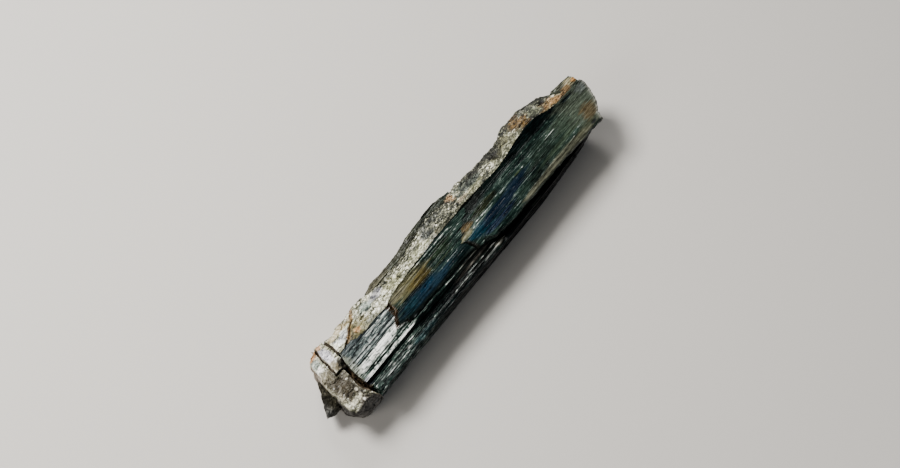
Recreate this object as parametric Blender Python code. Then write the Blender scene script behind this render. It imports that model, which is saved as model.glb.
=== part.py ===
"""Kyanite blade cluster: one hand-sized mineral specimen lying on its flat underside.

Parallel kyanite blades lie face to face along X, with a band of mica along the far edge and
cracked blocks at the -X end. Outlines below are in millimetres; the model is in metres.
The origin is at the middle of the footprint, on the surface that the specimen rests on.
"""

import bmesh
import bpy
from mathutils import Vector

MM = 0.001
GAP = 0.32                 # left between two crystals that lie face to face
BLADE_THICKNESS = 0.9      # of each of the two thin blades on top
CROSS_FALL = 0.13          # drop of the blade faces per millimetre towards -Y
FALL_FROM_Y = 2.0          # the blade heights below are given at this Y
CREST_RISE = 0.55          # the mica stands this much above the blade beside it

# (x, height) of the thick lower blade's upper face, at FALL_FROM_Y
LOWER_TOP = [(-45, 11.9), (-28, 12.2), (0, 12.3), (30, 12.2), (44, 12.0), (55, 11.3)]

# (x, y) of the line where the blades meet the mica
MICA_LINE = [(-42.7, 3.1), (-40.6, 3.2), (-38.6, 3.4), (-37.0, 2.6), (-34.5, 2.2), (-29.5, 2.3),
             (-27.3, 2.2), (-25.9, 1.9), (-24.6, 2.2), (-21.2, 2.6), (-16, 2.8), (-10.9, 3.0),
             (-5.6, 3.3), (-1.7, 3.4), (5.8, 3.3), (12.4, 2.7), (20.5, 2.4), (25.7, 3.0),
             (30.9, 3.6), (33.5, 3.9), (36.1, 3.7), (38.6, 3.1), (41.1, 2.3), (43.8, 1.7),
             (47.0, 1.5), (55.0, 1.5)]

# (x, y) of the specimen's far outline, seen from above
FAR_EDGE = [(-42, 8.8), (-39.5, 8.4), (-32.5, 8.8), (-26.3, 8.6), (-23.1, 9.3), (-14, 9.3),
            (-7.4, 10.1), (2.5, 10.35), (5.5, 9.8), (9, 9.1), (15, 8.6), (27.7, 8.4), (32.1, 9.8),
            (34.3, 9.3), (37.8, 9.6), (42.7, 8.2), (46.4, 6.4), (49.5, 6.1)]

# (x, height) of the far outline
RIM_LINE = [(-42, 11.0), (-11, 11.0), (-7.4, 11.6), (-4, 12.3), (3, 12.2), (11, 12.0), (18, 11.6),
            (26, 11.3), (31, 11.5), (36, 11.1), (46, 11.2), (50, 11.4)]

# (x, y) of the near outline, along the top of the near strip
NEAR_EDGE = [(-43.3, -10.3), (-34, -10.0), (-24, -9.6), (-14, -9.8), (-1, -10.1), (6, -10.1),
             (18, -9.8), (31, -9.6), (40, -9.5), (46.5, -9.2)]

# (y, x) of the free end at +X
TIP_EDGE = [(-9.6, 48.6), (-8.6, 49.1), (-7.5, 49.5), (-6.7, 50.6), (-5.4, 51.9), (-4.1, 52.8),
            (-2.5, 53.6), (-0.6, 54.4), (0.5, 54.6), (1.5, 54.3), (3.0, 53.9)]

# (y, x) of the outer block's free end at -X
END_EDGE = [(-10.4, -46.6), (-10.0, -48.8), (-9.4, -50.5), (-8.6, -51.7), (-7.4, -52.2),
            (-5.5, -52.1), (-3.8, -51.7), (-1.9, -51.1), (-0.2, -50.8), (2.3, -50.3),
            (4.2, -49.8), (6.0, -49.4), (7.2, -48.9), (8.0, -48.1), (9.0, -46.4)]

# (y, x) of the crack between the outer and the inner block
CRACK_EDGE = [(-0.1, -47.1), (1.6, -46.7), (3.3, -46.5), (5.0, -46.2), (6.5, -45.8),
              (7.6, -45.3), (9.1, -44.7)]

# (y, x) of the outer block's side of the deep crack
DEEP_EDGE = [(-10.4, -43.4), (-9.8, -43.8), (-9.0, -44.3), (-7.8, -44.9), (-6.6, -45.4),
             (-5.0, -45.7), (-3.8, -45.6), (-2.5, -45.2), (-0.5, -44.7)]

# (y, x) of the lower blade's lip beside the deep crack at -X
LIP_EDGE = [(-10.3, -43.1), (-9.0, -43.2), (-7.1, -43.4), (-6.1, -43.8), (-4.9, -44.0),
            (-3.2, -43.9), (-1.8, -43.6), (0.0, -43.2), (1.9, -42.5), (6.5, -42.0)]

# (y, x) of the slanting crack between the pale chip and the mica
CRACK_LINE = [(2.4, -39.0), (3.3, -38.1), (4.9, -36.9), (6.2, -35.2), (6.9, -33.4), (7.9, -32.4),
              (8.8, -31.6)]

# (y, x) of the broken -X ends of the two thin blades
STEP_A_EDGE = [(-5.0, -25.6), (-4.6, -27.2), (-3.4, -28.5), (-2.2, -27.6), (-0.9, -26.2),
               (2.3, -25.8)]
STEP_B_EDGE = [(-6.5, 0.6), (-5.0, 0.2), (-3.7, 0.3), (-2.7, -1.9), (-1.5, -1.4), (-0.2, 0.4),
               (0.4, 2.8), (3.2, 6.0)]

# (x, y) of the near edges of the two thin blades
MIDDLE_NEAR = [(-28.5, -4.7), (-3, -5.0), (1, -5.9), (5, -7.6), (40, -7.7), (50, -7.6)]
UPPER_NEAR = [(-2.2, -6.3), (3.0, -6.5), (4.8, -8.2), (14, -8.5), (28, -8.8), (39, -8.9),
              (48.5, -9.5)]

# (x, y) of the near strip's inner edge
STRIP_INNER = [(-43.3, -7.9), (2, -7.8), (9, -8.8), (46.5, -8.6)]

STRIP_TOP = [(-43.3, 10.3), (-20, 10.5), (10, 10.4), (46.5, 10.2)]
GROOVE_DEPTH = 1.1         # long groove between the lower blade's face and the near strip
GROOVE_INNER_Y = -6.4
RECESS_START = -12.0       # the groove opens into a deeper recess between these two X
RECESS_END = 4.0
RECESS_DEPTH = 2.2
WALL_HEIGHT = 12.0         # the leaning walls between the pieces are set out to this height
RIND_FOOT = 2.4            # height of the mica's lower edge on the far side
WALL_FOOT_Y = 6.4          # the lower blade's far wall leans out to this Y at the bottom
NEAR_FOOT_Y = -6.0         # and its near wall leans in to this Y
STRIP_FOOT_Y = -7.9        # the near strip's outer wall at the bottom
SIDE_BLADE_START = -25.8
SIDE_BLADE_END = 8.4
SIDE_BLADE_WIDTH = 1.5
SIDE_BLADE_FOOT = 3.2
REBATE_END = 0.5           # the mica's rebate for that blade ends this far past it
TIP_SEAM_X = 51.6          # the seam's X at Y = 0, and how far it falls back for each mm of Y
TIP_SEAM_SLOPE = 0.95
SIDE_TIP_FOOT = 5.0        # lower edge of the short blade beside the tip
END_UNDERCUT = 1.7         # the free end leans in by this much at the bottom
END_HEIGHT = 11.9
END_ROUNDING = 1.6         # radius worn on the end blocks' upper edges
FAR_SHARPNESS = 2.2        # their far edge is sharper than that by this much
BLOCK_SPLIT_Y = 0.25       # the outer block widens on the near side of this Y
FOOT_TIP = (-54.55, -1.9, 4.6)   # outermost point of the fragment at the end


def interpolate(points, at):
    """Straight-line reading of a list of (position, value) pairs."""
    if at <= points[0][0]:
        return points[0][1]
    for (a, first), (b, second) in zip(points, points[1:]):
        if at <= b:
            return first + (second - first) * (at - a) / (b - a)
    return points[-1][1]


def mix(a, b, share):
    return a + (b - a) * share


def face_height(x, y, layers=0):
    """Height of the lower blade's face, or of the thin blade that is the given layer up."""
    level = interpolate(LOWER_TOP, x) + CROSS_FALL * (y - FALL_FROM_Y)
    return level + layers * (BLADE_THICKNESS + GAP)


def crest_height(x):
    """Height of the mica's crest, which rises with the blades beside it."""
    share = min(max((x - SIDE_BLADE_START) / (0.0 - SIDE_BLADE_START), 0.0), 1.0)
    return face_height(x, interpolate(MICA_LINE, x), 2.0 * share) + CREST_RISE


def rim_height(x):
    """Height of the specimen's far outline."""
    return interpolate(RIM_LINE, x)


def wall_y(x, height):
    """Far wall of the lower blade, a plane that leans out towards the bottom."""
    return mix(WALL_FOOT_Y, interpolate(MICA_LINE, x), height / WALL_HEIGHT)


def inner_wall_y(x, height):
    """Near wall of the lower blade, a plane that leans in towards the bottom."""
    return mix(NEAR_FOOT_Y, interpolate(STRIP_INNER, x) + GAP, height / WALL_HEIGHT)


def groove_depth(x, y):
    """Depth of the long groove beside the near strip."""
    if y > GROOVE_INNER_Y:
        return 0.0
    return RECESS_DEPTH if RECESS_START < x < RECESS_END else GROOVE_DEPTH


def lower_blade(u, v, w):
    y_at_ends = mix(mix(NEAR_FOOT_Y, -7.5, w), mix(WALL_FOOT_Y, 2.4, w), v)
    left = interpolate(LIP_EDGE, y_at_ends) + 0.3 * (1.0 - w)
    right = interpolate(TIP_EDGE, y_at_ends) - mix(7.0, 1.2, w)
    x = mix(left, right, u)
    top_y = mix(interpolate(STRIP_INNER, x) + GAP, interpolate(MICA_LINE, x), v)
    height = w * (face_height(x, top_y) - groove_depth(x, top_y))
    return x, mix(inner_wall_y(x, height), wall_y(x, height), v), height


def thin_blade(step_edge, near_edge, setback, layer):
    def place(u, v, w):
        left = interpolate(step_edge, mix(-6.0, 2.8, v))
        x = mix(left, interpolate(TIP_EDGE, mix(-9.4, 1.5, v)) - setback, u)
        y = mix(interpolate(near_edge, x), interpolate(MICA_LINE, x), v)
        return x, y, face_height(x, y, layer) - BLADE_THICKNESS * (1.0 - w)
    return place


def tip_side_blade(u, v, w):
    y_at_seam = mix(mix(wall_y(48.0, SIDE_TIP_FOOT), 1.5, w) + GAP, mix(5.4, 5.0, w), v)
    x = mix(tip_seam_x(y_at_seam) + GAP, mix(49.0, 53.6, w) - 0.4 * v, u)
    height = mix(SIDE_TIP_FOOT, crest_height(x) - 0.6 * v, w)
    inner = mix(wall_y(x, SIDE_TIP_FOOT), interpolate(MICA_LINE, x), w) + GAP
    outer = interpolate([(45.0, 5.0), (54.0, 4.3)], x)
    return x, mix(inner, mix(outer + 0.4, outer, w), v), height


def near_side_blade(u, v, w):
    x = mix(-43.3, mix(42.0, 46.5, w), u)
    height = mix(0.5, interpolate(STRIP_TOP, x) + 0.3 * v, w)
    outer = mix(STRIP_FOOT_Y, interpolate(NEAR_EDGE, x), w)
    inner = inner_wall_y(x, height) - GAP
    taper = 1.0 - 0.55 * max(0.0, (u - 0.8) / 0.2)
    return x, mix(inner, mix(inner, outer, taper), 1.0 - v), height


def crack_x(y):
    """The slanting crack, as an X for each Y."""
    return interpolate(CRACK_LINE, y)


def rind_section(x, v, w):
    """Point of the wedge on the far wall: v runs outwards, w runs up."""
    inner_low = wall_y(x, RIND_FOOT) + GAP
    inner_high = interpolate(MICA_LINE, x) + GAP
    outer = interpolate(FAR_EDGE, x)
    if SIDE_BLADE_START - REBATE_END < x < SIDE_BLADE_END + REBATE_END:
        outer -= SIDE_BLADE_WIDTH + GAP
    top = mix(crest_height(x), rim_height(x), v)
    inner = mix(inner_low, inner_high, w)
    return mix(inner, mix(outer - 1.0, outer, w), v), mix(RIND_FOOT, top, w)


def tip_seam_x(y):
    """Seam between the mica and the short blade beside the tip, as an X for each Y."""
    return TIP_SEAM_X - TIP_SEAM_SLOPE * y


def mica_rind(u, v, w):
    stations = [(0.0, crack_x(mix(2.4, 8.8, v)) + GAP),
                (0.100, SIDE_BLADE_START - 0.8), (0.125, SIDE_BLADE_START - GAP),
                (0.525, SIDE_BLADE_END + GAP), (0.550, SIDE_BLADE_END + 0.8),
                (1.0, tip_seam_x(rind_section(TIP_SEAM_X - 3.5, v, w)[0]) - GAP)]
    x = interpolate(stations, u)
    y, z = rind_section(x, v, w)
    return x, y, z


def silver_chip(u, v, w):
    left = mix(-42.0, -41.7, v)
    right = crack_x(mix(2.4, 8.8, v)) - 0.2
    x = mix(left, right, u)
    y, z = rind_section(x, v, w)
    return x, y, z


def far_side_blade(u, v, w):
    x = mix(SIDE_BLADE_START, SIDE_BLADE_END, u)
    outer = interpolate(FAR_EDGE, x)
    ends = min(1.0, 6.0 * u + 0.4, 6.0 * (1.0 - u) + 0.4)
    inner = outer - SIDE_BLADE_WIDTH
    y = mix(inner, mix(inner, outer, ends), v)
    top = rim_height(x) + 0.15 - 0.5 * v
    return x, y - 1.0 * (1.0 - w), mix(SIDE_BLADE_FOOT, top, w)


def worn(distance):
    """Drop of a worn edge at a distance in from it."""
    if distance >= END_ROUNDING:
        return 0.0
    inset = END_ROUNDING - max(distance, 0.0)
    return END_ROUNDING - (END_ROUNDING ** 2 - inset ** 2) ** 0.5


def end_top(x, y, edges):
    """Height of the end blocks' upper face; edges are the distances to the free edges."""
    crown = END_HEIGHT + 0.04 * y - 0.012 * y * y
    return crown - max(worn(distance) for distance in edges)


def near_bulge(w):
    """Near face of the outer block, fullest at mid-height."""
    return interpolate([(0.0, -7.9), (0.4, -9.5), (0.75, -10.3), (0.9, -10.2), (1.0, -9.7)], w)


def end_outer_block(u, v, w):
    far = mix(7.9, 9.1, u)
    y = interpolate([(0.0, near_bulge(w)), (0.625, BLOCK_SPLIT_Y), (0.6875, BLOCK_SPLIT_Y + 0.35),
                     (1.0, far)], v)
    left = interpolate(END_EDGE, y) + END_UNDERCUT * (1.0 - w)
    if y > BLOCK_SPLIT_Y:
        right = interpolate(CRACK_EDGE, y) - 0.2
    else:
        at_depth = interpolate(LIP_EDGE, y) - GAP
        right = mix(at_depth, min(interpolate(DEEP_EDGE, y), at_depth), w)
    x = mix(left, right, u)
    top = end_top(x, y, (x - left, y - near_bulge(w), FAR_SHARPNESS * (far - y)))
    return x, y, mix(0.6, top, w)


def end_inner_block(u, v, w):
    far = mix(8.2, 9.0, w)
    y = mix(BLOCK_SPLIT_Y + 0.7, far, v)
    left = interpolate(CRACK_EDGE, y) + mix(GAP, 0.2, w)
    x = mix(left, interpolate(LIP_EDGE, y) - 0.35, u)
    top = end_top(x, y, (FAR_SHARPNESS * (far - y),)) + 0.3
    return x, y, mix(0.6, top, w)


def foot_fragment(u, v, w):
    spread = 0.08 + 0.92 * u
    height = mix(FOOT_TIP[2], mix(1.0, 8.8, w), spread)
    y = mix(FOOT_TIP[1], mix(mix(-2.6, -3.4, w), 4.8, v), spread)
    slant = END_UNDERCUT * (1.0 - height / END_HEIGHT)
    return mix(FOOT_TIP[0], interpolate(END_EDGE, y) + slant - GAP, u), y, height


def block_mesh(name, bands, place):
    """A closed box cut into bands along, across and up, with each point put in its place."""
    mesh = bpy.data.meshes.new(name)
    bm = bmesh.new()
    bmesh.ops.create_cube(bm, size=1.0)
    for axis, count in enumerate(bands):
        edges = []
        for edge in bm.edges:
            run = edge.verts[1].co - edge.verts[0].co
            if abs(run[axis]) > 0.5 * run.length:
                edges.append(edge)
        bmesh.ops.subdivide_edges(bm, edges=edges, cuts=count - 1, use_grid_fill=True)
    for vert in bm.verts:
        u, v, w = (coordinate + 0.5 for coordinate in vert.co)
        vert.co = Vector(place(u, v, w)) * MM
    bm.to_mesh(mesh)
    bm.free()
    return mesh


def add_piece(collection, name, bands, place, material):
    piece = bpy.data.objects.new(name, block_mesh(name, bands, place))
    piece.data.materials.append(material)
    piece.data.shade_smooth()
    piece.data.set_sharp_from_angle(angle=0.6)
    collection.objects.link(piece)


def stone_material(name, colour, roughness):
    material = bpy.data.materials.new(name)
    material.use_nodes = True
    shader = material.node_tree.nodes["Principled BSDF"]
    shader.inputs["Base Color"].default_value = (*colour, 1.0)
    shader.inputs["Roughness"].default_value = roughness
    shader.inputs["Metallic"].default_value = 0.0
    return material


def clear_scene():
    for item in list(bpy.data.objects):
        bpy.data.objects.remove(item, do_unlink=True)


def main():
    clear_scene()
    cluster = bpy.data.collections.new("kyanite_blade_cluster")
    bpy.context.scene.collection.children.link(cluster)

    silver = stone_material("silver_kyanite", (0.34, 0.37, 0.37), 0.38)
    teal = stone_material("teal_kyanite", (0.06, 0.11, 0.12), 0.35)
    mica = stone_material("granular_mica", (0.42, 0.38, 0.30), 0.5)
    cream = stone_material("cream_crust", (0.45, 0.40, 0.32), 0.6)

    middle = thin_blade(STEP_A_EDGE, MIDDLE_NEAR, 0.7, 1)
    upper = thin_blade(STEP_B_EDGE, UPPER_NEAR, 0.0, 2)

    add_piece(cluster, "lower_blade", (40, 10, 4), lower_blade, silver)
    add_piece(cluster, "middle_blade", (30, 6, 2), middle, teal)
    add_piece(cluster, "upper_blade", (28, 8, 2), upper, teal)
    add_piece(cluster, "near_side_blade", (34, 2, 5), near_side_blade, teal)
    add_piece(cluster, "far_side_blade", (18, 2, 3), far_side_blade, teal)
    add_piece(cluster, "tip_side_blade", (6, 3, 5), tip_side_blade, teal)
    add_piece(cluster, "mica_rind", (40, 5, 4), mica_rind, mica)
    add_piece(cluster, "silver_chip", (8, 5, 3), silver_chip, cream)
    add_piece(cluster, "end_inner_block", (6, 10, 8), end_inner_block, cream)
    add_piece(cluster, "end_outer_block", (8, 16, 8), end_outer_block, cream)
    add_piece(cluster, "foot_fragment", (6, 6, 6), foot_fragment, cream)


main()
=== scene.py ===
import itertools
import math

import bmesh
import bpy
import numpy as np
from mathutils import Matrix, Vector


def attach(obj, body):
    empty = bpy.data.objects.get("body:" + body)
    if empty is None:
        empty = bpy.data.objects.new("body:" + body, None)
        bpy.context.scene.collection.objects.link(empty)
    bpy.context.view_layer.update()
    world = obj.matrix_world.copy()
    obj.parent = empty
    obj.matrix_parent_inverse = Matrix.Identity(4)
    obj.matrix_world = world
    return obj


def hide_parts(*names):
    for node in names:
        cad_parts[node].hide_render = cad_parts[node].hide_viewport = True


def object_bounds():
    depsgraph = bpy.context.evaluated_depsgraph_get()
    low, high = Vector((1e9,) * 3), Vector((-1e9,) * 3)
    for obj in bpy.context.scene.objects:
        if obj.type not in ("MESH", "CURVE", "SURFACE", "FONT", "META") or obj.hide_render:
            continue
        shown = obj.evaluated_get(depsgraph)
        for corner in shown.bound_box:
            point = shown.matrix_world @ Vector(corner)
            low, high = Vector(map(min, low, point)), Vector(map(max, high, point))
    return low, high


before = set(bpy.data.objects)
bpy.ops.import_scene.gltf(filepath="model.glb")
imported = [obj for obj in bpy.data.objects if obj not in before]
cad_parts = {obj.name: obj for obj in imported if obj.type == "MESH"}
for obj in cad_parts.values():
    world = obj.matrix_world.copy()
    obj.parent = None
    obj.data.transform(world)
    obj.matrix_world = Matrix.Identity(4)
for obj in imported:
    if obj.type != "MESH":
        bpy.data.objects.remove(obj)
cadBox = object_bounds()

mm = 0.001

# room, light and camera
stageLook = {
    "floorSize": 1600,
    "floorColour": (0.50, 0.48, 0.45, 1.0),
    "floorRoughness": 0.9,
    "worldColour": (0.67, 0.69, 0.71, 1.0),
    "worldStrength": 0.075,
    # name: (place in mm, size in mm, power in W, colour)
    "softboxes": {
        "backSoftbox": ((-110, 265, 420), 190, 5.6, (1.0, 0.98, 0.95)),
        "glintSoftbox": ((210, 310, 350), 120, 1.1, (1.0, 0.99, 0.97)),
        "endSoftbox": ((-430, 40, 240), 220, 1.15, (1.0, 0.96, 0.90)),
        "frontFill": ((-60, -430, 260), 380, 0.44, (0.90, 0.94, 1.0)),
    },
}

view = {
    "azimuth": -53.776,
    "elevation": 60.0,
    "lens": 70.0,
    "distance": 427.8,
    "nearest": 10,
    "target": (0.776, 2.991, 8.0),
}


def aimAt(item, target):
    item.rotation_euler = (Vector(target) - item.location).to_track_quat("-Z", "Y").to_euler()


def buildStage():
    bpy.ops.mesh.primitive_plane_add(size=stageLook["floorSize"] * mm, location=(0, 0, 0))
    floor = bpy.context.object
    floor.name = "floor"
    paper = bpy.data.materials.new("palePaper")
    paper.use_nodes = True
    shader = paper.node_tree.nodes["Principled BSDF"]
    shader.inputs["Base Color"].default_value = stageLook["floorColour"]
    shader.inputs["Roughness"].default_value = stageLook["floorRoughness"]
    floor.data.materials.append(paper)

    world = bpy.data.worlds.new("studio")
    world.use_nodes = True
    world.node_tree.nodes["Background"].inputs["Color"].default_value = stageLook["worldColour"]
    world.node_tree.nodes["Background"].inputs["Strength"].default_value = stageLook["worldStrength"]
    bpy.context.scene.world = world

    for name, (place, size, power, colour) in stageLook["softboxes"].items():
        bpy.ops.object.light_add(type="AREA", location=Vector(place) * mm)
        box = bpy.context.object
        box.name = name
        box.data.size = size * mm
        box.data.energy = power
        box.data.color = colour
        aimAt(box, (0, 0, 0))


def placeCamera():
    around, up = math.radians(view["azimuth"]), math.radians(view["elevation"])
    back = Vector((math.sin(around) * math.cos(up), -math.cos(around) * math.cos(up), math.sin(up)))
    target = Vector(view["target"]) * mm
    bpy.ops.object.camera_add(location=target + back * view["distance"] * mm)
    camera = bpy.context.object
    camera.data.lens = view["lens"]
    camera.data.clip_start = view["nearest"] * mm
    aimAt(camera, target)
    bpy.context.scene.camera = camera


buildStage()
placeCamera()
print("stage ready")


# noise on whole arrays of points at once; lengths are in millimetres
noiseLook = {
    "seedStep": 2654435, "seedStart": 97, "wholeKey": 0xFFFFFFFF,     # a key has 32 bits
    "stirs": (0x2C1B3C6D, 0x297A2D39), "shifts": (13, 16),            # they scramble it
    "finer": 0.5, "fainter": 0.55,                                    # each octave of rough noise
    "grainStart": 0.1, "grainPlay": 0.8,                              # where a grain lies in its cell
}


def draw(seed, *cells):
    # one value from 0 to 1 for each whole-numbered cell
    whole = noiseLook["wholeKey"]
    firstStir, secondStir = [np.uint32(stir) for stir in noiseLook["stirs"]]
    firstShift, secondShift = [np.uint32(shift) for shift in noiseLook["shifts"]]
    key = np.full(cells[0].shape, (seed * noiseLook["seedStep"] + noiseLook["seedStart"]) & whole, np.uint32)
    for cell in cells:
        key = (key ^ cell.astype(np.int64).astype(np.uint32)) * firstStir
        key = (key ^ (key >> firstShift)) * secondStir
        key = key ^ (key >> secondShift)
    return key / float(whole)


def softNoise(seed, *axes):
    # smooth, from -1 to 1
    cells = [np.floor(axis) for axis in axes]
    eased = [(axis - cell) ** 2 * (3 - 2 * (axis - cell)) for axis, cell in zip(axes, cells)]
    total = np.zeros(axes[0].shape)
    for corner in itertools.product((0, 1), repeat=len(axes)):
        weight = 1.0
        for ease, step in zip(eased, corner):
            weight = weight * (ease if step else 1 - ease)
        total += weight * draw(seed, *[cell + step for cell, step in zip(cells, corner)])
    return 2 * total - 1


def roughNoise(seed, size, octaves, *axes):
    total, height = 0.0, 1.0
    for octave in range(octaves):
        total = total + height * softNoise(seed + octave, *[axis / size for axis in axes])
        size, height = size * noiseLook["finer"], height * noiseLook["fainter"]
    return total


def grainCells(seed, size, x, y, z):
    # packed grains: how far to the next grain, two values of the grain, offsets from its middle
    points = [axis / step for axis, step in zip((x, y, z), size)]
    cells = [np.floor(point) for point in points]
    start, play = noiseLook["grainStart"], noiseLook["grainPlay"]
    nearest = np.full(x.shape, np.inf)
    second = np.full(x.shape, np.inf)
    kept = [np.zeros(x.shape) for _ in range(5)]
    for shift in itertools.product((-1, 0, 1), repeat=3):
        home = [cell + step for cell, step in zip(cells, shift)]
        offsets = [point - (cell + start + play * draw(seed + 1 + axis, *home))
                   for axis, (point, cell) in enumerate(zip(points, home))]
        distance = np.sqrt(sum(offset * offset for offset in offsets))
        closer = distance < nearest
        second = np.where(closer, nearest, np.minimum(second, distance))
        nearest = np.where(closer, distance, nearest)
        found = [draw(seed + 5, *home), draw(seed + 6, *home), *offsets]
        kept = [np.where(closer, new, old) for new, old in zip(found, kept)]
    return second - nearest, kept[0], kept[1], kept[2:]


def along(points, at):
    # reads a drawn line, a list of (position, value) pairs
    return np.interp(at, [p[0] for p in points], [p[1] for p in points])


def mix(a, b, share):
    return a + (b - a) * share


def ramp(low, high, at):
    # 0 before low, 1 after high, eased between
    share = np.clip((at - low) / (high - low), 0.0, 1.0)
    return share * share * (3 - 2 * share)


def window(low, high, soft, at):
    return ramp(low - soft, low + soft, at) * (1 - ramp(high - soft, high + soft, at))


# pieces
def cutBlock(name, bands, mostBands=99, runs=10, straight=0.9):
    # a closed unit block whose edges are cut into bands along X, Y and Z; many bands take two runs
    bpy.ops.object.select_all(action="DESELECT")
    bpy.ops.mesh.primitive_cube_add(size=1, location=(0, 0, 0))
    block = bpy.context.object
    block.name = name
    bpy.ops.object.mode_set(mode="EDIT")
    bpy.ops.mesh.select_mode(type="EDGE")
    for axis, count in enumerate(bands):
        for cuts in ((count // runs, runs) if count > mostBands else (count,)):
            bpy.ops.mesh.select_all(action="DESELECT")
            shape = bmesh.from_edit_mesh(block.data)
            for edge in shape.edges:
                run = edge.verts[1].co - edge.verts[0].co
                if abs(run[axis]) > straight * run.length:
                    edge.select_set(True)
            bmesh.update_edit_mesh(block.data)
            bpy.ops.mesh.subdivide(number_cuts=cuts - 1)
    bpy.ops.object.mode_set(mode="OBJECT")
    return block


def readPoints(mesh, what="co"):
    flat = np.empty(len(mesh.vertices) * 3, np.float32)
    mesh.vertices.foreach_get(what, flat)
    return flat.reshape(-1, 3).astype(np.float64).T


def writePoints(mesh, x, y, z):
    mesh.vertices.foreach_set("co", (np.stack([x, y, z], 1) * mm).astype(np.float32).ravel())
    mesh.update()


def addStone(mesh, tone, stain):
    if "tone" not in mesh.attributes:
        mesh.attributes.new("tone", "FLOAT", "POINT")
        mesh.color_attributes.new("stain", "FLOAT_COLOR", "POINT")
    mesh.attributes["tone"].data.foreach_set("value", np.clip(tone, 0, 1).astype(np.float32))
    mesh.color_attributes["stain"].data.foreach_set("color", stain.astype(np.float32).ravel())


def smallModel(name, add, taper, **values):
    # a few-faced model of size 1, its ends drawn in; copies of it are set into the pieces
    endFrom = 0.3
    bpy.ops.object.select_all(action="DESELECT")
    add(location=(0, 0, 0), **values)
    model = bpy.context.object
    model.name = name
    bpy.ops.object.mode_set(mode="EDIT")
    bpy.ops.mesh.select_mode(type="VERT")
    bpy.ops.mesh.select_all(action="DESELECT")
    shape = bmesh.from_edit_mesh(model.data)
    for vert in shape.verts:
        vert.select_set(abs(vert.co.x) > endFrom)
    bmesh.update_edit_mesh(model.data)
    bpy.ops.transform.resize(value=(1, taper, taper), center_override=(0, 0, 0))
    bpy.ops.object.mode_set(mode="OBJECT")
    return model


splinter = smallModel("splinter", bpy.ops.mesh.primitive_cube_add, 0.35, size=1)
flakes = [smallModel(f"flake{sides}", bpy.ops.mesh.primitive_cylinder_add, 0.8, vertices=sides,
                     radius=0.5, depth=1) for sides in (5, 7)]


# what laths, lines, grains and stains have in common on every piece
surfaceLook = {
    "topFacing": (0.5, 0.8), "endFacing": (0.6, 0.85),      # from not at all to fully top, or end
    "flankFacing": 0.6, "flankShift": 40.0,
    "lathDrift": 0.30, "lathSway": 0.5,                     # how the rows wander, in rows
    "lathEnd": 0.35, "seamHalf": 0.085, "leastSeam": 0.35,
    "lineWander": 0.10, "lineEnd": 0.6, "raggedEnd": 0.8,
    "hairline": 0.18, "hairlineGaps": 0.55, "lineGaps": 0.25,
    "grainSeam": 0.16,
    "stainEdge": (0.55, 1.15), "fringe": 0.40, "fringeSize": 1.3, "fineFringe": 0.5, "sideStain": 0.25,
    "clearEnds": 0.03, "endRoom": 1.8, "stainCalm": 0.6,    # for splinters and flakes
    "boxInset": 0.015,
}


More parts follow.
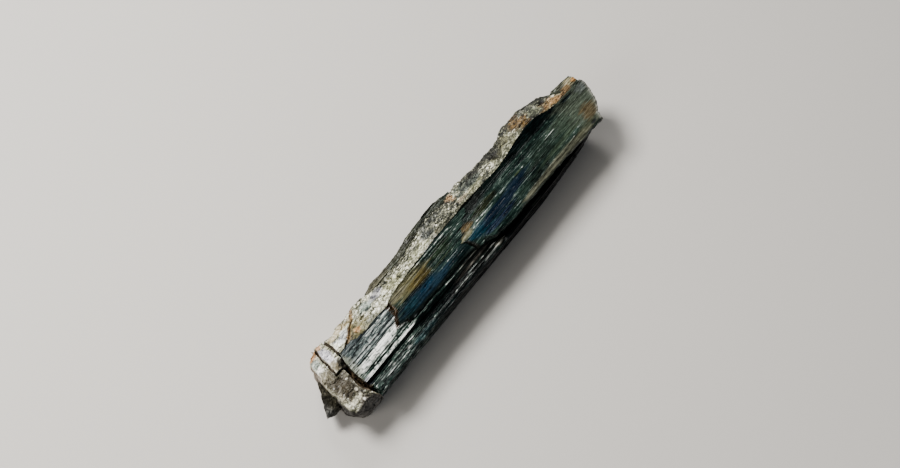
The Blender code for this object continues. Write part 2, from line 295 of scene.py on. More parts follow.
class Surface:
    # the points of one piece while it is worked: places, outward directions, tone and stain

    def __init__(self, name, bands, place, streak=9.0):
        self.piece = cutBlock(name, bands)
        self.streak = streak      # how much longer a stain's fringe is along X than across
        self.u, self.v, self.w = readPoints(self.piece.data) + 0.5
        writePoints(self.piece.data, *place(self.u, self.v, self.w))
        self.x, self.y, self.z = readPoints(self.piece.data) / mm
        self.out = readPoints(self.piece.data, "normal")
        self.tone = np.full(self.x.shape, 0.5)
        self.stain = np.zeros((len(self.x), 4))
        self.top = ramp(*surfaceLook["topFacing"], self.out[2])
        self.end = ramp(*surfaceLook["endFacing"], np.abs(self.out[0]))
        self.under = ramp(*surfaceLook["endFacing"], -self.out[2])
        # laths lie side by side over the top and then down the flanks
        level = np.abs(self.out[2]) > surfaceLook["flankFacing"]
        self.across = np.where(level, self.y, self.z + surfaceLook["flankShift"])

    def lift(self, height, tone=0.0):
        self.x = self.x + self.out[0] * height
        self.y = self.y + self.out[1] * height
        self.z = self.z + self.out[2] * height
        self.tone = self.tone + tone

    def laths(self, seed, width, run, rise, lean, seam, tone, seamTone, where=1.0):
        # rows of long narrow slips, each with its own height, lean and tone
        look = surfaceLook
        drift = self.across / width
        slow = softNoise(seed, self.x / (run * 1.3), drift / 3)
        fast = softNoise(seed + 1, drift / 2)
        drift = drift + look["lathDrift"] * slow + look["lathSway"] * fast
        row = np.floor(drift)
        inRow = drift - row
        length = self.x / run + 9 * draw(seed + 2, row)
        part = np.floor(length)
        inPart = length - part
        value = draw(seed + 3, row, part)
        second = draw(seed + 4, row, part)
        endRun = look["lathEnd"] / run
        ends = ramp(0, endRun, inPart) * (1 - ramp(1 - endRun, 1, inPart))
        cut = np.exp(-(np.minimum(inRow, 1 - inRow) * width / look["seamHalf"]) ** 2)
        depth = mix(look["leastSeam"], 1.0, draw(seed + 5, np.round(drift)))
        height = (rise * (value - 0.5) + lean * (second - 0.5) * (inRow - 0.5)) * ends - seam * cut * depth
        bare = where * (1 - self.end)
        self.lift(height * bare, (tone * (value - 0.5) * ends - seamTone * cut * depth) * bare)

    def lines(self, drawn, seed):
        # grooves and ribs drawn along the top: (y, from x, to x, half width, height, tone)
        look = surfaceLook
        for number, (y, first, last, half, height, tone) in enumerate(drawn):
            wander = look["lineWander"] * softNoise(seed + number, self.x / 5.0)
            broken = look["hairlineGaps"] if half < look["hairline"] else look["lineGaps"]
            strength = 1 - broken + broken * roughNoise(seed + 40 + number, 1.7, 4, self.x, self.y / 3)
            strength = np.maximum(strength, 0)
            share = np.exp(-((self.y - y - wander) / half) ** 4) * strength * self.top
            ragged = look["raggedEnd"] * softNoise(seed + 80 + number, self.y / 0.3)
            share = share * window(first, last, look["lineEnd"], self.x + ragged)
            self.lift(height * share, tone * share)

    def grains(self, seed, size, rise, lean, seam, tone, seamTone, where=1.0):
        # packed grains, each with its own height, lean and tone
        edge, value, second, offsets = grainCells(seed, size, self.x, self.y, self.z)
        cut = np.exp(-(edge / surfaceLook["grainSeam"]) ** 2)
        slope = (second - 0.5) * offsets[0] + (value - 0.5) * offsets[1] + (0.5 - second) * offsets[2]
        self.lift((rise * (value - 0.5) + lean * slope - seam * cut) * where,
                  (tone * (second - 0.5) - seamTone * cut) * where)

    def soak(self, colour, strength, where):
        # lays a stain over what is there
        amount = np.clip(strength * where, 0, 1)
        left = self.stain[:, 3] * (1 - amount)
        whole = np.maximum(left + amount, 1e-6)
        for channel in range(3):
            self.stain[:, channel] = (self.stain[:, channel] * left + colour[channel] * amount) / whole
        self.stain[:, 3] = left + amount

    def patches(self, drawn, seed):
        # soft-edged stains: (colour, x, y, half length, half width, strength)
        look = surfaceLook
        reach = mix(look["sideStain"], 1.0, self.top)
        place = (self.x / self.streak, self.y, self.z)
        for number, (colour, x, y, long, wide, strength) in enumerate(drawn):
            far = np.hypot((self.x - x) / long, (self.y - y) / wide)
            fringe = roughNoise(seed + 3 * number, look["fringeSize"], 3, *place)
            fringe += 0.5 * roughNoise(seed + 3 * number + 1, look["fineFringe"], 2, *place)
            inside = 1 - ramp(*look["stainEdge"], far + look["fringe"] * fringe)
            self.soak(colour, strength, inside * reach)

    def sprinkle(self, model, look, where):
        # sets copies of a small model into the surface, where it says, and joins them to the piece
        random = np.random.default_rng(look["seed"])
        clear = surfaceLook["clearEnds"]
        where = where * window(clear, 1 - clear, 0.01, self.u)
        spots = random.choice(len(self.x), look["count"], replace=False, p=where / where.sum())
        inside = bpy.context.collection
        bpy.ops.object.select_all(action="DESELECT")
        for spot in spots:
            bit = model.copy()
            bit.data = model.data.copy()
            inside.objects.link(bit)
            size = [low + (high - low) * random.random() ** 2 for low, high in look["size"]]
            toEnd = min(self.x.max() - self.x[spot], self.x[spot] - self.x.min())
            size[0] = min(size[0], surfaceLook["endRoom"] * toEnd)
            up = Vector(self.out[:, spot]) + Vector(random.uniform(-1, 1, 3)) * look["lean"]
            up.normalize()
            turn = random.uniform(-look["spin"], look["spin"])
            ahead = Vector((math.cos(turn), math.sin(turn), 0.0))
            ahead = (ahead - up * ahead.dot(up)).normalized()
            axes = Matrix((ahead, up.cross(ahead), up)).transposed().to_4x4()
            place = Vector((self.x[spot], self.y[spot], self.z[spot])) - up * look["sink"] * size[2]
            scale = Matrix.Diagonal((*(Vector(size) * mm), 1))
            bit.matrix_world = Matrix.Translation(place * mm) @ axes @ scale
            calm = 1 - surfaceLook["stainCalm"] * self.stain[spot, 3]
            tone = self.tone[spot] + random.uniform(*look["tone"]) * calm
            stain = self.stain[spot] * (1, 1, 1, look["stain"])
            count = len(bit.data.vertices)
            addStone(bit.data, np.full(count, tone), np.tile(stain, (count, 1)))
            bit.select_set(True)
        self.piece.select_set(True)
        bpy.context.view_layer.objects.active = self.piece
        bpy.ops.object.join()

    def finish(self, material, nodes, angle=45, bits=()):
        mesh = self.piece.data
        writePoints(mesh, self.x, self.y, self.z)
        addStone(mesh, self.tone, self.stain)
        for model, look, where in bits:
            self.sprinkle(model, look, where)
        low, high = [np.array(corner) / mm for corner in cadBox]
        inset = surfaceLook["boxInset"]
        inBox = np.clip(readPoints(mesh) / mm, low[:, None] + inset, high[:, None] - inset)
        writePoints(mesh, *inBox)
        mesh.materials.clear()
        mesh.materials.append(material)
        bpy.ops.object.select_all(action="DESELECT")
        self.piece.select_set(True)
        bpy.context.view_layer.objects.active = self.piece
        bpy.ops.object.shade_smooth_by_angle(angle=math.radians(angle))
        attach(self.piece, "root")
        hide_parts(*nodes)
        print(self.piece.name, len(mesh.polygons), "faces")


# materials
def addNode(tree, kind, **values):
    node = tree.nodes.new(kind)
    for key, value in values.items():
        setattr(node, key, value)
    return node


def calculate(tree, operation, first, second, clamp=False):
    node = addNode(tree, "ShaderNodeMath", operation=operation, use_clamp=clamp)
    for socket, value in zip(node.inputs, (first, second)):
        if isinstance(value, (int, float)):
            socket.default_value = value
        else:
            tree.links.new(value, socket)
    return node.outputs[0]


def spread(tree, source, low, high, fromLow=0.0, fromHigh=1.0):
    node = addNode(tree, "ShaderNodeMapRange")
    node.inputs["From Min"].default_value = fromLow
    node.inputs["From Max"].default_value = fromHigh
    node.inputs["To Min"].default_value = low
    node.inputs["To Max"].default_value = high
    tree.links.new(source, node.inputs["Value"])
    return node.outputs[0]


def noiseTexture(tree, where, scale, detail, roughness):
    mapping = addNode(tree, "ShaderNodeMapping")
    mapping.inputs["Scale"].default_value = scale
    tree.links.new(where, mapping.inputs["Vector"])
    noise = addNode(tree, "ShaderNodeTexNoise")
    noise.inputs["Scale"].default_value = 1.0
    noise.inputs["Detail"].default_value = detail
    noise.inputs["Roughness"].default_value = roughness
    tree.links.new(mapping.outputs[0], noise.inputs["Vector"])
    return noise.outputs[0]


# (detail, roughness) of each noise, and the parts of the dashes that go pale and dark; the pale flecks are
# partly pale fibres and grains and partly painted glints
textureLook = {
    "fibre": (5.0, 0.65), "cloud": (4.0, 0.5), "hair": (3.0, 0.7), "dash": (2.0, 0.6),
    "paleFleckAndGlint": (0.56, 0.76), "darkDash": (0.26, 0.44),
}


def stoneMaterial(name, look):
    material = bpy.data.materials.new(name)
    material.use_nodes = True
    tree = material.node_tree
    shader = tree.nodes["Principled BSDF"]
    where = addNode(tree, "ShaderNodeTexCoord").outputs["Object"]
    tone = addNode(tree, "ShaderNodeAttribute", attribute_name="tone").outputs["Fac"]
    stain = addNode(tree, "ShaderNodeAttribute", attribute_name="stain")

    # colour: the tone, broken up by fine fibres and broad clouds, reads the ramp
    hairScale = [look["hairs"] * scale for scale in look["fibreScale"]]
    fibres = noiseTexture(tree, where, look["fibreScale"], *textureLook["fibre"])
    clouds = noiseTexture(tree, where, look["cloudScale"], *textureLook["cloud"])
    hairs = noiseTexture(tree, where, hairScale, *textureLook["hair"])
    fibres = calculate(tree, "MULTIPLY", calculate(tree, "ADD", fibres, hairs), 0.5)
    fine = calculate(tree, "MULTIPLY", calculate(tree, "SUBTRACT", fibres, 0.5), look["fibreSwing"])
    broad = calculate(tree, "MULTIPLY", calculate(tree, "SUBTRACT", clouds, 0.5), look["cloudSwing"])
    dashes = noiseTexture(tree, where, look["dashScale"], *textureLook["dash"])
    # pale flecks: partly the stone's own pale fibres and grains, partly painted glints
    pale = spread(tree, dashes, 0.0, look["paleFleckAndGlintSwing"], *textureLook["paleFleckAndGlint"])
    dark = spread(tree, dashes, -look["darkDash"], 0.0, *textureLook["darkDash"])
    level = calculate(tree, "ADD", calculate(tree, "ADD", tone, fine), calculate(tree, "ADD", broad, pale))
    level = calculate(tree, "ADD", level, dark, clamp=True)
    colours = addNode(tree, "ShaderNodeValToRGB")
    stops = look["colours"]
    for _ in stops[2:]:
        colours.color_ramp.elements.new(0.5)    # moved to its stop just below
    for element, (position, colour) in zip(colours.color_ramp.elements, stops):
        element.position = position
        element.color = (*colour, 1.0)
    tree.links.new(level, colours.inputs["Fac"])

    stained = addNode(tree, "ShaderNodeVectorMath", operation="SCALE")
    tree.links.new(stain.outputs["Color"], stained.inputs[0])
    tree.links.new(spread(tree, level, look["stainLow"], look["stainHigh"]), stained.inputs["Scale"])
    blend = addNode(tree, "ShaderNodeMix", data_type="RGBA")
    colourInputs = [socket for socket in blend.inputs if socket.type == "RGBA"]
    tree.links.new(stain.outputs["Alpha"], blend.inputs[0])
    tree.links.new(colours.outputs["Color"], colourInputs[0])
    tree.links.new(stained.outputs[0], colourInputs[1])
    colourOutput = next(socket for socket in blend.outputs if socket.type == "RGBA")
    tree.links.new(colourOutput, shader.inputs["Base Color"])
    tree.links.new(spread(tree, level, look["roughDark"], look["roughPale"]), shader.inputs["Roughness"])

    bump = addNode(tree, "ShaderNodeBump")
    bump.inputs["Strength"].default_value = look["bumpStrength"]
    bump.inputs["Distance"].default_value = look["bumpDistance"] * mm
    tree.links.new(fibres, bump.inputs["Height"])
    if look["flakeSize"]:
        # small flakes that each face their own way, so that they glint one by one
        flakes = addNode(tree, "ShaderNodeTexVoronoi")
        flakes.inputs["Scale"].default_value = 1 / (look["flakeSize"] * mm)
        tree.links.new(where, flakes.inputs["Vector"])
        centred = addNode(tree, "ShaderNodeVectorMath", operation="SUBTRACT")
        tree.links.new(flakes.outputs["Color"], centred.inputs[0])
        centred.inputs[1].default_value = (0.5, 0.5, 0.5)
        lean = addNode(tree, "ShaderNodeVectorMath", operation="SCALE")
        tree.links.new(centred.outputs[0], lean.inputs[0])
        lean.inputs["Scale"].default_value = look["flakeLean"]
        surface = addNode(tree, "ShaderNodeNewGeometry")
        leaning = addNode(tree, "ShaderNodeVectorMath", operation="ADD")
        tree.links.new(surface.outputs["Normal"], leaning.inputs[0])
        tree.links.new(lean.outputs[0], leaning.inputs[1])
        unit = addNode(tree, "ShaderNodeVectorMath", operation="NORMALIZE")
        tree.links.new(leaning.outputs[0], unit.inputs[0])
        tree.links.new(unit.outputs[0], bump.inputs["Normal"])
    tree.links.new(bump.outputs[0], shader.inputs["Normal"])
    shader.inputs["IOR"].default_value = look["ior"]
    gloss = spread(tree, level, look["glossDark"], look["glossPale"])
    tree.links.new(gloss, shader.inputs["Specular IOR Level"])
    return material


kyaniteLook = {
    "fibreScale": (140, 3000, 3000),
    "fibreSwing": 1.45,
    "hairs": 2.6,
    "cloudScale": (150, 560, 560),
    "cloudSwing": 0.44,
    "dashScale": (700, 4100, 4100),
    "paleFleckAndGlintSwing": 0.36,
    "darkDash": 0.30,
    "colours": [(0.00, (0.0010, 0.0014, 0.0016)), (0.20, (0.0022, 0.0066, 0.0056)),
                (0.40, (0.0095, 0.0225, 0.0175)), (0.58, (0.067, 0.097, 0.081)),
                (0.76, (0.36, 0.38, 0.35)), (1.00, (0.93, 0.93, 0.89))],
    "stainLow": 0.12,
    "stainHigh": 2.3,
    "roughDark": 0.32,
    "roughPale": 0.28,
    "bumpStrength": 0.4,
    "bumpDistance": 0.025,
    "flakeSize": 0,
    "ior": 1.52,
    "glossDark": 0.03,
    "glossPale": 0.50,
}

micaLook = {
    "fibreScale": (1100, 1800, 1800),
    "fibreSwing": 1.4,
    "hairs": 2.2,
    "cloudScale": (380, 520, 520),
    "cloudSwing": 0.45,
    "dashScale": (1900, 3300, 3300),
    "paleFleckAndGlintSwing": 0.50,
    "darkDash": 0.52,
    "glossDark": 0.22,
    "glossPale": 0.55,
    "colours": [(0.00, (0.007, 0.008, 0.005)), (0.22, (0.030, 0.032, 0.021)),
                (0.40, (0.110, 0.112, 0.072)), (0.58, (0.30, 0.295, 0.20)),
                (0.76, (0.64, 0.62, 0.48)), (1.00, (0.96, 0.95, 0.88))],
    "stainLow": 0.12,
    "stainHigh": 1.9,
    "roughDark": 0.65,
    "roughPale": 0.36,
    "bumpStrength": 0.6,
    "bumpDistance": 0.10,
    "flakeSize": 0.45,
    "flakeLean": 0.5,
    "ior": 1.58,
}

crustLook = dict(micaLook, fibreScale=(500, 1700, 1700), fibreSwing=0.9, flakeLean=0.25, flakeSize=0.6,
                 glossDark=0.06)

kyanite = stoneMaterial("striatedKyanite", kyaniteLook)
mica = stoneMaterial("granularMica", micaLook)
crust = stoneMaterial("weatheredCrust", crustLook)
print("materials ready")

# the specimen's own lines, in millimetres: (x, y) unless noted
lowerTop = [(-45, 11.9), (-28, 12.2), (0, 12.3), (30, 12.2), (44, 12.0), (55, 11.3)]   # (x, height)
micaLine = [(-42.7, 3.1), (-40.6, 3.2), (-38.6, 3.4), (-37.0, 2.6), (-34.5, 2.2), (-29.5, 2.3),
            (-27.3, 2.2), (-25.9, 1.9), (-24.6, 2.2), (-21.2, 2.6), (-16, 2.8), (-10.9, 3.0), (-5.6, 3.3),
            (-1.7, 3.4), (5.8, 3.3), (12.4, 2.7), (20.5, 2.4), (25.7, 3.0), (30.9, 3.6), (33.5, 3.9),
            (36.1, 3.7), (38.6, 3.1), (41.1, 2.3), (43.8, 1.7), (47.0, 1.5), (55.0, 1.5)]
farEdge = [(-42, 8.8), (-39.5, 8.4), (-32.5, 8.8), (-26.3, 8.6), (-23.1, 9.3), (-14, 9.3),
           (-7.4, 10.1), (2.5, 10.35), (5.5, 9.8), (9, 9.1), (15, 8.6), (27.7, 8.4),
           (32.1, 9.8), (34.3, 9.3), (37.8, 9.6), (42.7, 8.2), (45.6, 7.0), (47.6, 6.6), (49.5, 6.1)]
nearEdge = [(-43.3, -10.3), (-34, -10.0), (-24, -9.6), (-14, -9.8), (-1, -10.1), (6, -10.1),
            (18, -9.8), (31, -9.6), (40, -9.5), (46.5, -9.2)]
tipEdge = [(-9.6, 48.6), (-8.6, 49.1), (-7.5, 49.5), (-6.7, 50.6), (-5.4, 51.9), (-4.1, 52.8),
           (-2.5, 53.6), (-0.6, 54.4), (0.5, 54.6), (1.5, 54.3), (3.0, 53.9)]          # (y, x)
endEdge = [(-10.4, -46.6), (-10.0, -48.8), (-9.4, -50.5), (-8.6, -51.7), (-7.4, -52.2),
           (-5.5, -52.1), (-3.8, -51.7), (-1.9, -51.1), (-0.2, -50.8), (2.3, -50.3),
           (4.2, -49.8), (6.0, -49.4), (7.2, -48.9), (8.0, -48.1), (9.0, -46.4)]       # (y, x)
crackEdge = [(-0.1, -47.1), (1.6, -46.5), (3.3, -46.2), (5.0, -45.9), (6.5, -45.6),
             (7.6, -45.3), (9.1, -44.7)]                                               # (y, x)
deepEdge = [(-10.4, -43.4), (-9.8, -43.8), (-9.0, -44.3), (-7.8, -44.9), (-6.6, -45.4),
            (-5.0, -45.7), (-3.8, -45.6), (-2.5, -45.2), (-0.5, -44.7)]                # (y, x)
lipEdge = [(-10.3, -43.1), (-9.0, -43.2), (-7.1, -43.4), (-6.1, -43.8), (-4.9, -44.0),
           (-3.2, -43.9), (-1.8, -43.6), (0.0, -43.2), (1.9, -42.5), (6.5, -42.0)]     # (y, x)
crackLine = [(2.4, -39.0), (3.3, -38.1), (4.9, -36.9), (6.2, -35.2), (6.9, -33.4), (7.9, -32.4),
             (8.8, -31.6)]                                                             # (y, x)
stepAEdge = [(-5.0, -25.6), (-4.6, -27.2), (-3.4, -28.5), (-2.2, -27.6), (-0.9, -26.2),
             (2.3, -25.8)]                                                             # (y, x)
stepBEdge = [(-6.5, -0.3), (-5.8, -0.5), (-4.4, -0.9), (-2.9, -1.4), (-2.6, -2.1), (-1.5, -2.2), (-0.2, -0.6),
             (0.4, 2.2), (3.2, 5.4)]                                                   # (y, x)
middleNear = [(-28.5, -4.7), (-3, -5.0), (1, -5.9), (5, -7.6), (40, -7.7), (50, -7.6)]
upperNear = [(-2.2, -6.3), (3.0, -6.5), (4.8, -8.2), (14, -8.5), (28, -8.8), (39, -8.9),
             (48.5, -9.5)]
stripInner = [(-43.3, -7.9), (2, -7.8), (9, -8.8), (46.5, -8.6)]
stripTop = [(-43.3, 10.3), (-20, 10.5), (10, 10.4), (46.5, 10.2)]                      # (x, height)
rimLine = [(-42, 11.0), (-11, 11.0), (-7.4, 11.6), (-4, 12.3), (3, 12.2), (11, 12.0), (18, 11.6), (26, 11.3),
           (31, 11.5), (36, 11.1), (46, 11.2), (50, 11.4)]                             # (x, height)

form = {
    "gap": 0.32,
    "bladeThickness": 0.9, "crossFall": 0.13, "fallFromY": 2.0, "crestRise": 0.55,
    "wallHeight": 12.0, "wallFootY": 6.4, "nearFootY": -6.0, "stripFootY": -7.9,
    "rindFoot": 2.4, "blockFoot": 0.6, "stripFoot": 0.5,
    "sideBlade": (-25.8, 8.4), "sideBladeWidth": 1.5, "sideBladeFoot": 3.2, "rebateEnd": 0.5,
    "tipSeamX": 51.6, "tipSeamSlope": 0.95, "sideTipFoot": 5.0,
    "crackY": (2.4, 8.8), "crackDepth": (0.78, 0.98),       # the slanting crack; where cracks close
}


def faceHeight(x, y, layers=0):
    level = along(lowerTop, x) + form["crossFall"] * (y - form["fallFromY"])
    return level + layers * (form["bladeThickness"] + form["gap"])


def crestHeight(x):
    share = np.clip((x - form["sideBlade"][0]) / -form["sideBlade"][0], 0, 1)
    return faceHeight(x, along(micaLine, x), 2 * share) + form["crestRise"]


def farWallY(x, height):
    return mix(form["wallFootY"], along(micaLine, x), height / form["wallHeight"])


def nearWallY(x, height):
    return mix(form["nearFootY"], along(stripInner, x) + form["gap"], height / form["wallHeight"])


# thick lower blade, bare at -X, with bold silver ribs and dark grooves
# tones for the lines: pale ribs, partly their own silver and partly painted glint; dark grooves, partly their
# own colour and partly painted shade
ribSilverAndGlint, grooveDarkAndShade = 0.42, -0.75
baseBladeLook = {
    "bands": (290, 110, 24),
    "rows": [(0, 0), (0.52, 0.21), (1, 1)],      # closer bands on the bare part
    "topEdges": (-7.5, 2.4), "endLean": 0.3, "tipBack": (7.0, 1.2),
    "grooveY": (-5.9, -6.7), "grooveDepth": (0.9, 1.0), "recess": (-12.0, 4.0), "recessEase": 0.7,
    "bareFrom": (-23.0, -27.0), "farFrom": (-2.2, -1.6), "coveredTone": 0.20,
    "bareTone": [(-6, 0.67), (-1.95, 0.67), (-1.8, 0.66), (0.3, 0.64), (0.6, 0.59), (1.5, 0.55), (2.5, 0.48)],
    # (seed, width, run, rise, lean, seam depth, tone, seam tone)
    "broadLaths": (11, 1.45, 26, 0.16, 0.30, 0.10, 0.14, 0.25),
    "fineLaths": [(21, 0.55, 13, 0.09, 0.16, 0.05, 0.26, 0.25), (25, 0.27, 5, 0.04, 0.06, 0.03, 0.26, 0.20)],
    # (seed, size, rise, lean, seam depth, tone, seam tone)
    "grains": (29, (1.5, 0.30, 0.5), 0.05, 0.08, 0.03, 0.30, 0.12),
    "pitDepth": 0.05, "pitTone": 0.34, "underRoughness": 0.30, "endRoughness": 0.35,
    # (colour, strength) of each stain that follows an edge
    "farDulling": 0.05, "farVeil": ((0.150, 0.168, 0.185), 0.24), "lipStain": ((0.18, 0.18, 0.13), 0.45),
    "stepShade": ((0.016, 0.007, 0.002), 0.96), "shadeX": (-0.6, 0.7), "shadeY": (-3.6, 2.4),
    "endStain": ((0.13, 0.085, 0.045), 0.8),
    "splinters": {"seed": 81, "count": 240, "size": [(1.2, 6.0), (0.12, 0.34), (0.10, 0.22)], "lean": 0.06,
                  "spin": 0.020, "sink": 0.15, "tone": (-0.15, 0.25), "stain": 0.8},
    "crackHalf": 0.10, "crackDepth": 0.10, "crackTone": 0.40,
    # (x, from y, to y)
    "crossCracks": [(-36.3, -4.2, -1.9), (-36.0, -1.6, 0.4), (-40.2, -5.7, -4.9), (-32.9, -4.9, -3.4),
                    (-30.4, 0.8, 1.8), (-38.9, -3.6, -2.2)],
    "lines": [
        (1.90, -40.5, -25.0, 0.17, -0.28, -0.55), (1.25, -37.0, -24.5, 0.24, 0.06, 0.36),
        (0.50, -41.0, -25.0, 0.10, -0.20, -0.50), (-0.10, -41.5, -25.0, 0.12, 0.03, 0.16),
        (-0.62, -41.0, -25.0, 0.08, -0.08, -0.25), (-1.15, -40.0, -25.0, 0.16, 0.03, 0.05),
        (-1.86, -41.8, -24.5, 0.14, -0.40, grooveDarkAndShade), (-3.10, -43.2, -26.5, 0.92, 0.22, ribSilverAndGlint),
        (-4.30, -42.3, -30.0, 0.09, -0.14, -0.40), (-4.55, -43.0, -24.0, 0.12, 0.05, 0.20),
        (-4.88, -42.3, -32.0, 0.10, -0.20, -0.65), (-5.48, -43.2, -24.0, 0.40, 0.18, ribSilverAndGlint),
        (-6.20, -43.6, -11.0, 0.24, -0.30, grooveDarkAndShade), (-6.74, -43.6, -11.0, 0.34, -0.06, -0.44),
        (-5.50, -25.0, -11.0, 0.19, 0.14, 0.46), (-5.75, -12.0, -0.4, 0.14, 0.30, 0.44),
    ],
    "patches": [
        # the pale grey-brown patch at (-4.0, -6.8) is painted light that lifts the shade in the recess
        ((0.024, 0.031, 0.036), -37.4, 2.5, 5.8, 0.8, 0.75), ((0.13, 0.14, 0.11), -42.8, -1.0, 1.2, 3.6, 0.6),
        ((0.03, 0.03, 0.06), -43.4, -5.6, 1.4, 0.9, 0.7), ((0.120, 0.112, 0.096), -4.0, -6.8, 9.0, 1.4, 0.95),
    ],
}


def baseBladeShape(u, v, w):
    look = baseBladeLook
    nearTop, farTop = look["topEdges"]
    yAtEnds = mix(mix(form["nearFootY"], nearTop, w), mix(form["wallFootY"], farTop, w), v)
    left = along(lipEdge, yAtEnds) + look["endLean"] * (1 - w)
    right = along(tipEdge, yAtEnds) - mix(*look["tipBack"], w)
    x = mix(left, right, along(look["rows"], u))
    topY = mix(along(stripInner, x) + form["gap"], along(micaLine, x), v)
    inRecess = window(*look["recess"], look["recessEase"], x)
    groove = mix(*look["grooveDepth"], inRecess) * ramp(*look["grooveY"], topY)
    height = w * (faceHeight(x, topY) - groove)
    return x, mix(nearWallY(x, height), farWallY(x, height), v), height


def buildBaseBlade():
    look = baseBladeLook
    blade = Surface("silverBlade", look["bands"], baseBladeShape)
    bare = ramp(*look["bareFrom"], blade.x)
    far = bare * ramp(*look["farFrom"], blade.y)
    calm = 1 - 0.25 * far
    farTop = far * blade.top
    blade.tone[:] = mix(look["coveredTone"], along(look["bareTone"], blade.y), bare * blade.top)
    blade.laths(*look["broadLaths"])
    for layer in look["fineLaths"]:
        blade.laths(*layer, calm)
    blade.grains(*look["grains"], blade.top)
    pits = ramp(0.25, 0.70, roughNoise(33, 0.6, 2, blade.x / 1.4, blade.y / 0.6)) * blade.top
    blade.lift(-look["pitDepth"] * pits, -look["pitTone"] * pits * bare)
    blade.lines(look["lines"], 35)
    blade.tone = blade.tone - look["farDulling"] * farTop * ramp(0.66, 0.85, blade.tone)
    blade.soak(*look["farVeil"], farTop)
    blade.soak(*look["lipStain"], ramp(0.7, 0.1, blade.x - along(lipEdge, blade.y)) * blade.top)
    for x, first, last in look["crossCracks"]:
        wander = 0.25 * softNoise(37, blade.y / 0.8)
        crack = np.exp(-((blade.x - x - wander) / look["crackHalf"]) ** 2)
        crack = crack * window(first, last, 0.2, blade.y) * blade.top
        blade.lift(-look["crackDepth"] * crack, -look["crackTone"] * crack)
    # painted shadow: a brown shadow of the blade above is laid along its broken end
    beforeStep = along(stepAEdge, blade.y) - blade.x
    underStep = window(*look["shadeX"], 0.25, beforeStep) * window(*look["shadeY"], 0.3, blade.y)
    blade.soak(*look["stepShade"], underStep * blade.top)
    blade.patches(look["patches"], 51)
    broken = 0.5 + 0.5 * roughNoise(61, 2.4, 3, blade.x / 3, blade.y, blade.z)
    blade.lift(-look["underRoughness"] * broken * blade.under)
    blade.lift(look["endRoughness"] * roughNoise(71, 0.9, 3, blade.y, blade.z) * blade.end, -0.1 * blade.end)
    blade.soak(*look["endStain"], blade.end * ramp(11.4, 9.5, blade.z))
    onTop = blade.top * (0.06 + bare) * (blade.z > 9)
    blade.finish(kyanite, ["lower_blade"], bits=[(splinter, look["splinters"], onTop)])


buildBaseBlade()


# the two thin blades that lie on it
middleBladeLook = {
    "bands": (240, 90, 4),
    "layer": 1,
    "brokenEnd": (0.042, 0.019, 0.003),
    "stepRim": 0.50,
    "stepTo": 2.0,
    "splinters": 110,
    "paleTip": 0.0,
    "farShade": 0.0,
    "setback": 0.7,
    "shelving": 0.75,
    "feather": 0.0,
    "closer": (0.82, 0.34),
    "lines": [
        (-2.60, -11.0, -1.8, 0.13, 0.10, 0.40), (-4.75, -25.5, -12.5, 0.20, 0.08, 0.36),
        (-4.85, -6.5, -0.8, 0.20, 0.08, 0.40), (2.25, -25.0, -12.0, 0.16, -0.30, -0.30),
        (1.75, -24.0, -2.0, 0.14, 0.05, 0.18), (-1.05, -26.0, -13.0, 0.10, -0.14, -0.20),
        (2.45, -15.0, -1.0, 0.18, 0.08, 0.50),
    ],
    "patches": [
        ((0.102, 0.094, 0.044), -19.0, 0.7, 9.2, 2.1, 0.92),
        ((0.078, 0.055, 0.011), -15.8, 0.0, 4.4, 1.0, 0.7), ((0.20, 0.185, 0.115), -22.6, 1.2, 3.4, 1.0, 0.6),
        ((0.006, 0.019, 0.032), -17.0, -3.0, 10.5, 2.0, 0.95),
        ((0.0035, 0.024, 0.050), -16.4, -2.6, 4.6, 0.8, 0.7),
        ((0.004, 0.026, 0.034), -22.5, -2.6, 3.0, 1.3, 0.6),
        ((0.003, 0.010, 0.011), -4.6, -3.8, 5.0, 1.7, 0.8), ((0.009, 0.017, 0.006), -6.5, 0.6, 5.6, 1.6, 0.7),
        ((0.045, 0.022, 0.005), -26.0, 0.2, 0.6, 1.9, 0.9), ((0.07, 0.10, 0.055), -8.0, -1.3, 5.0, 0.35, 0.5),
    ],
}

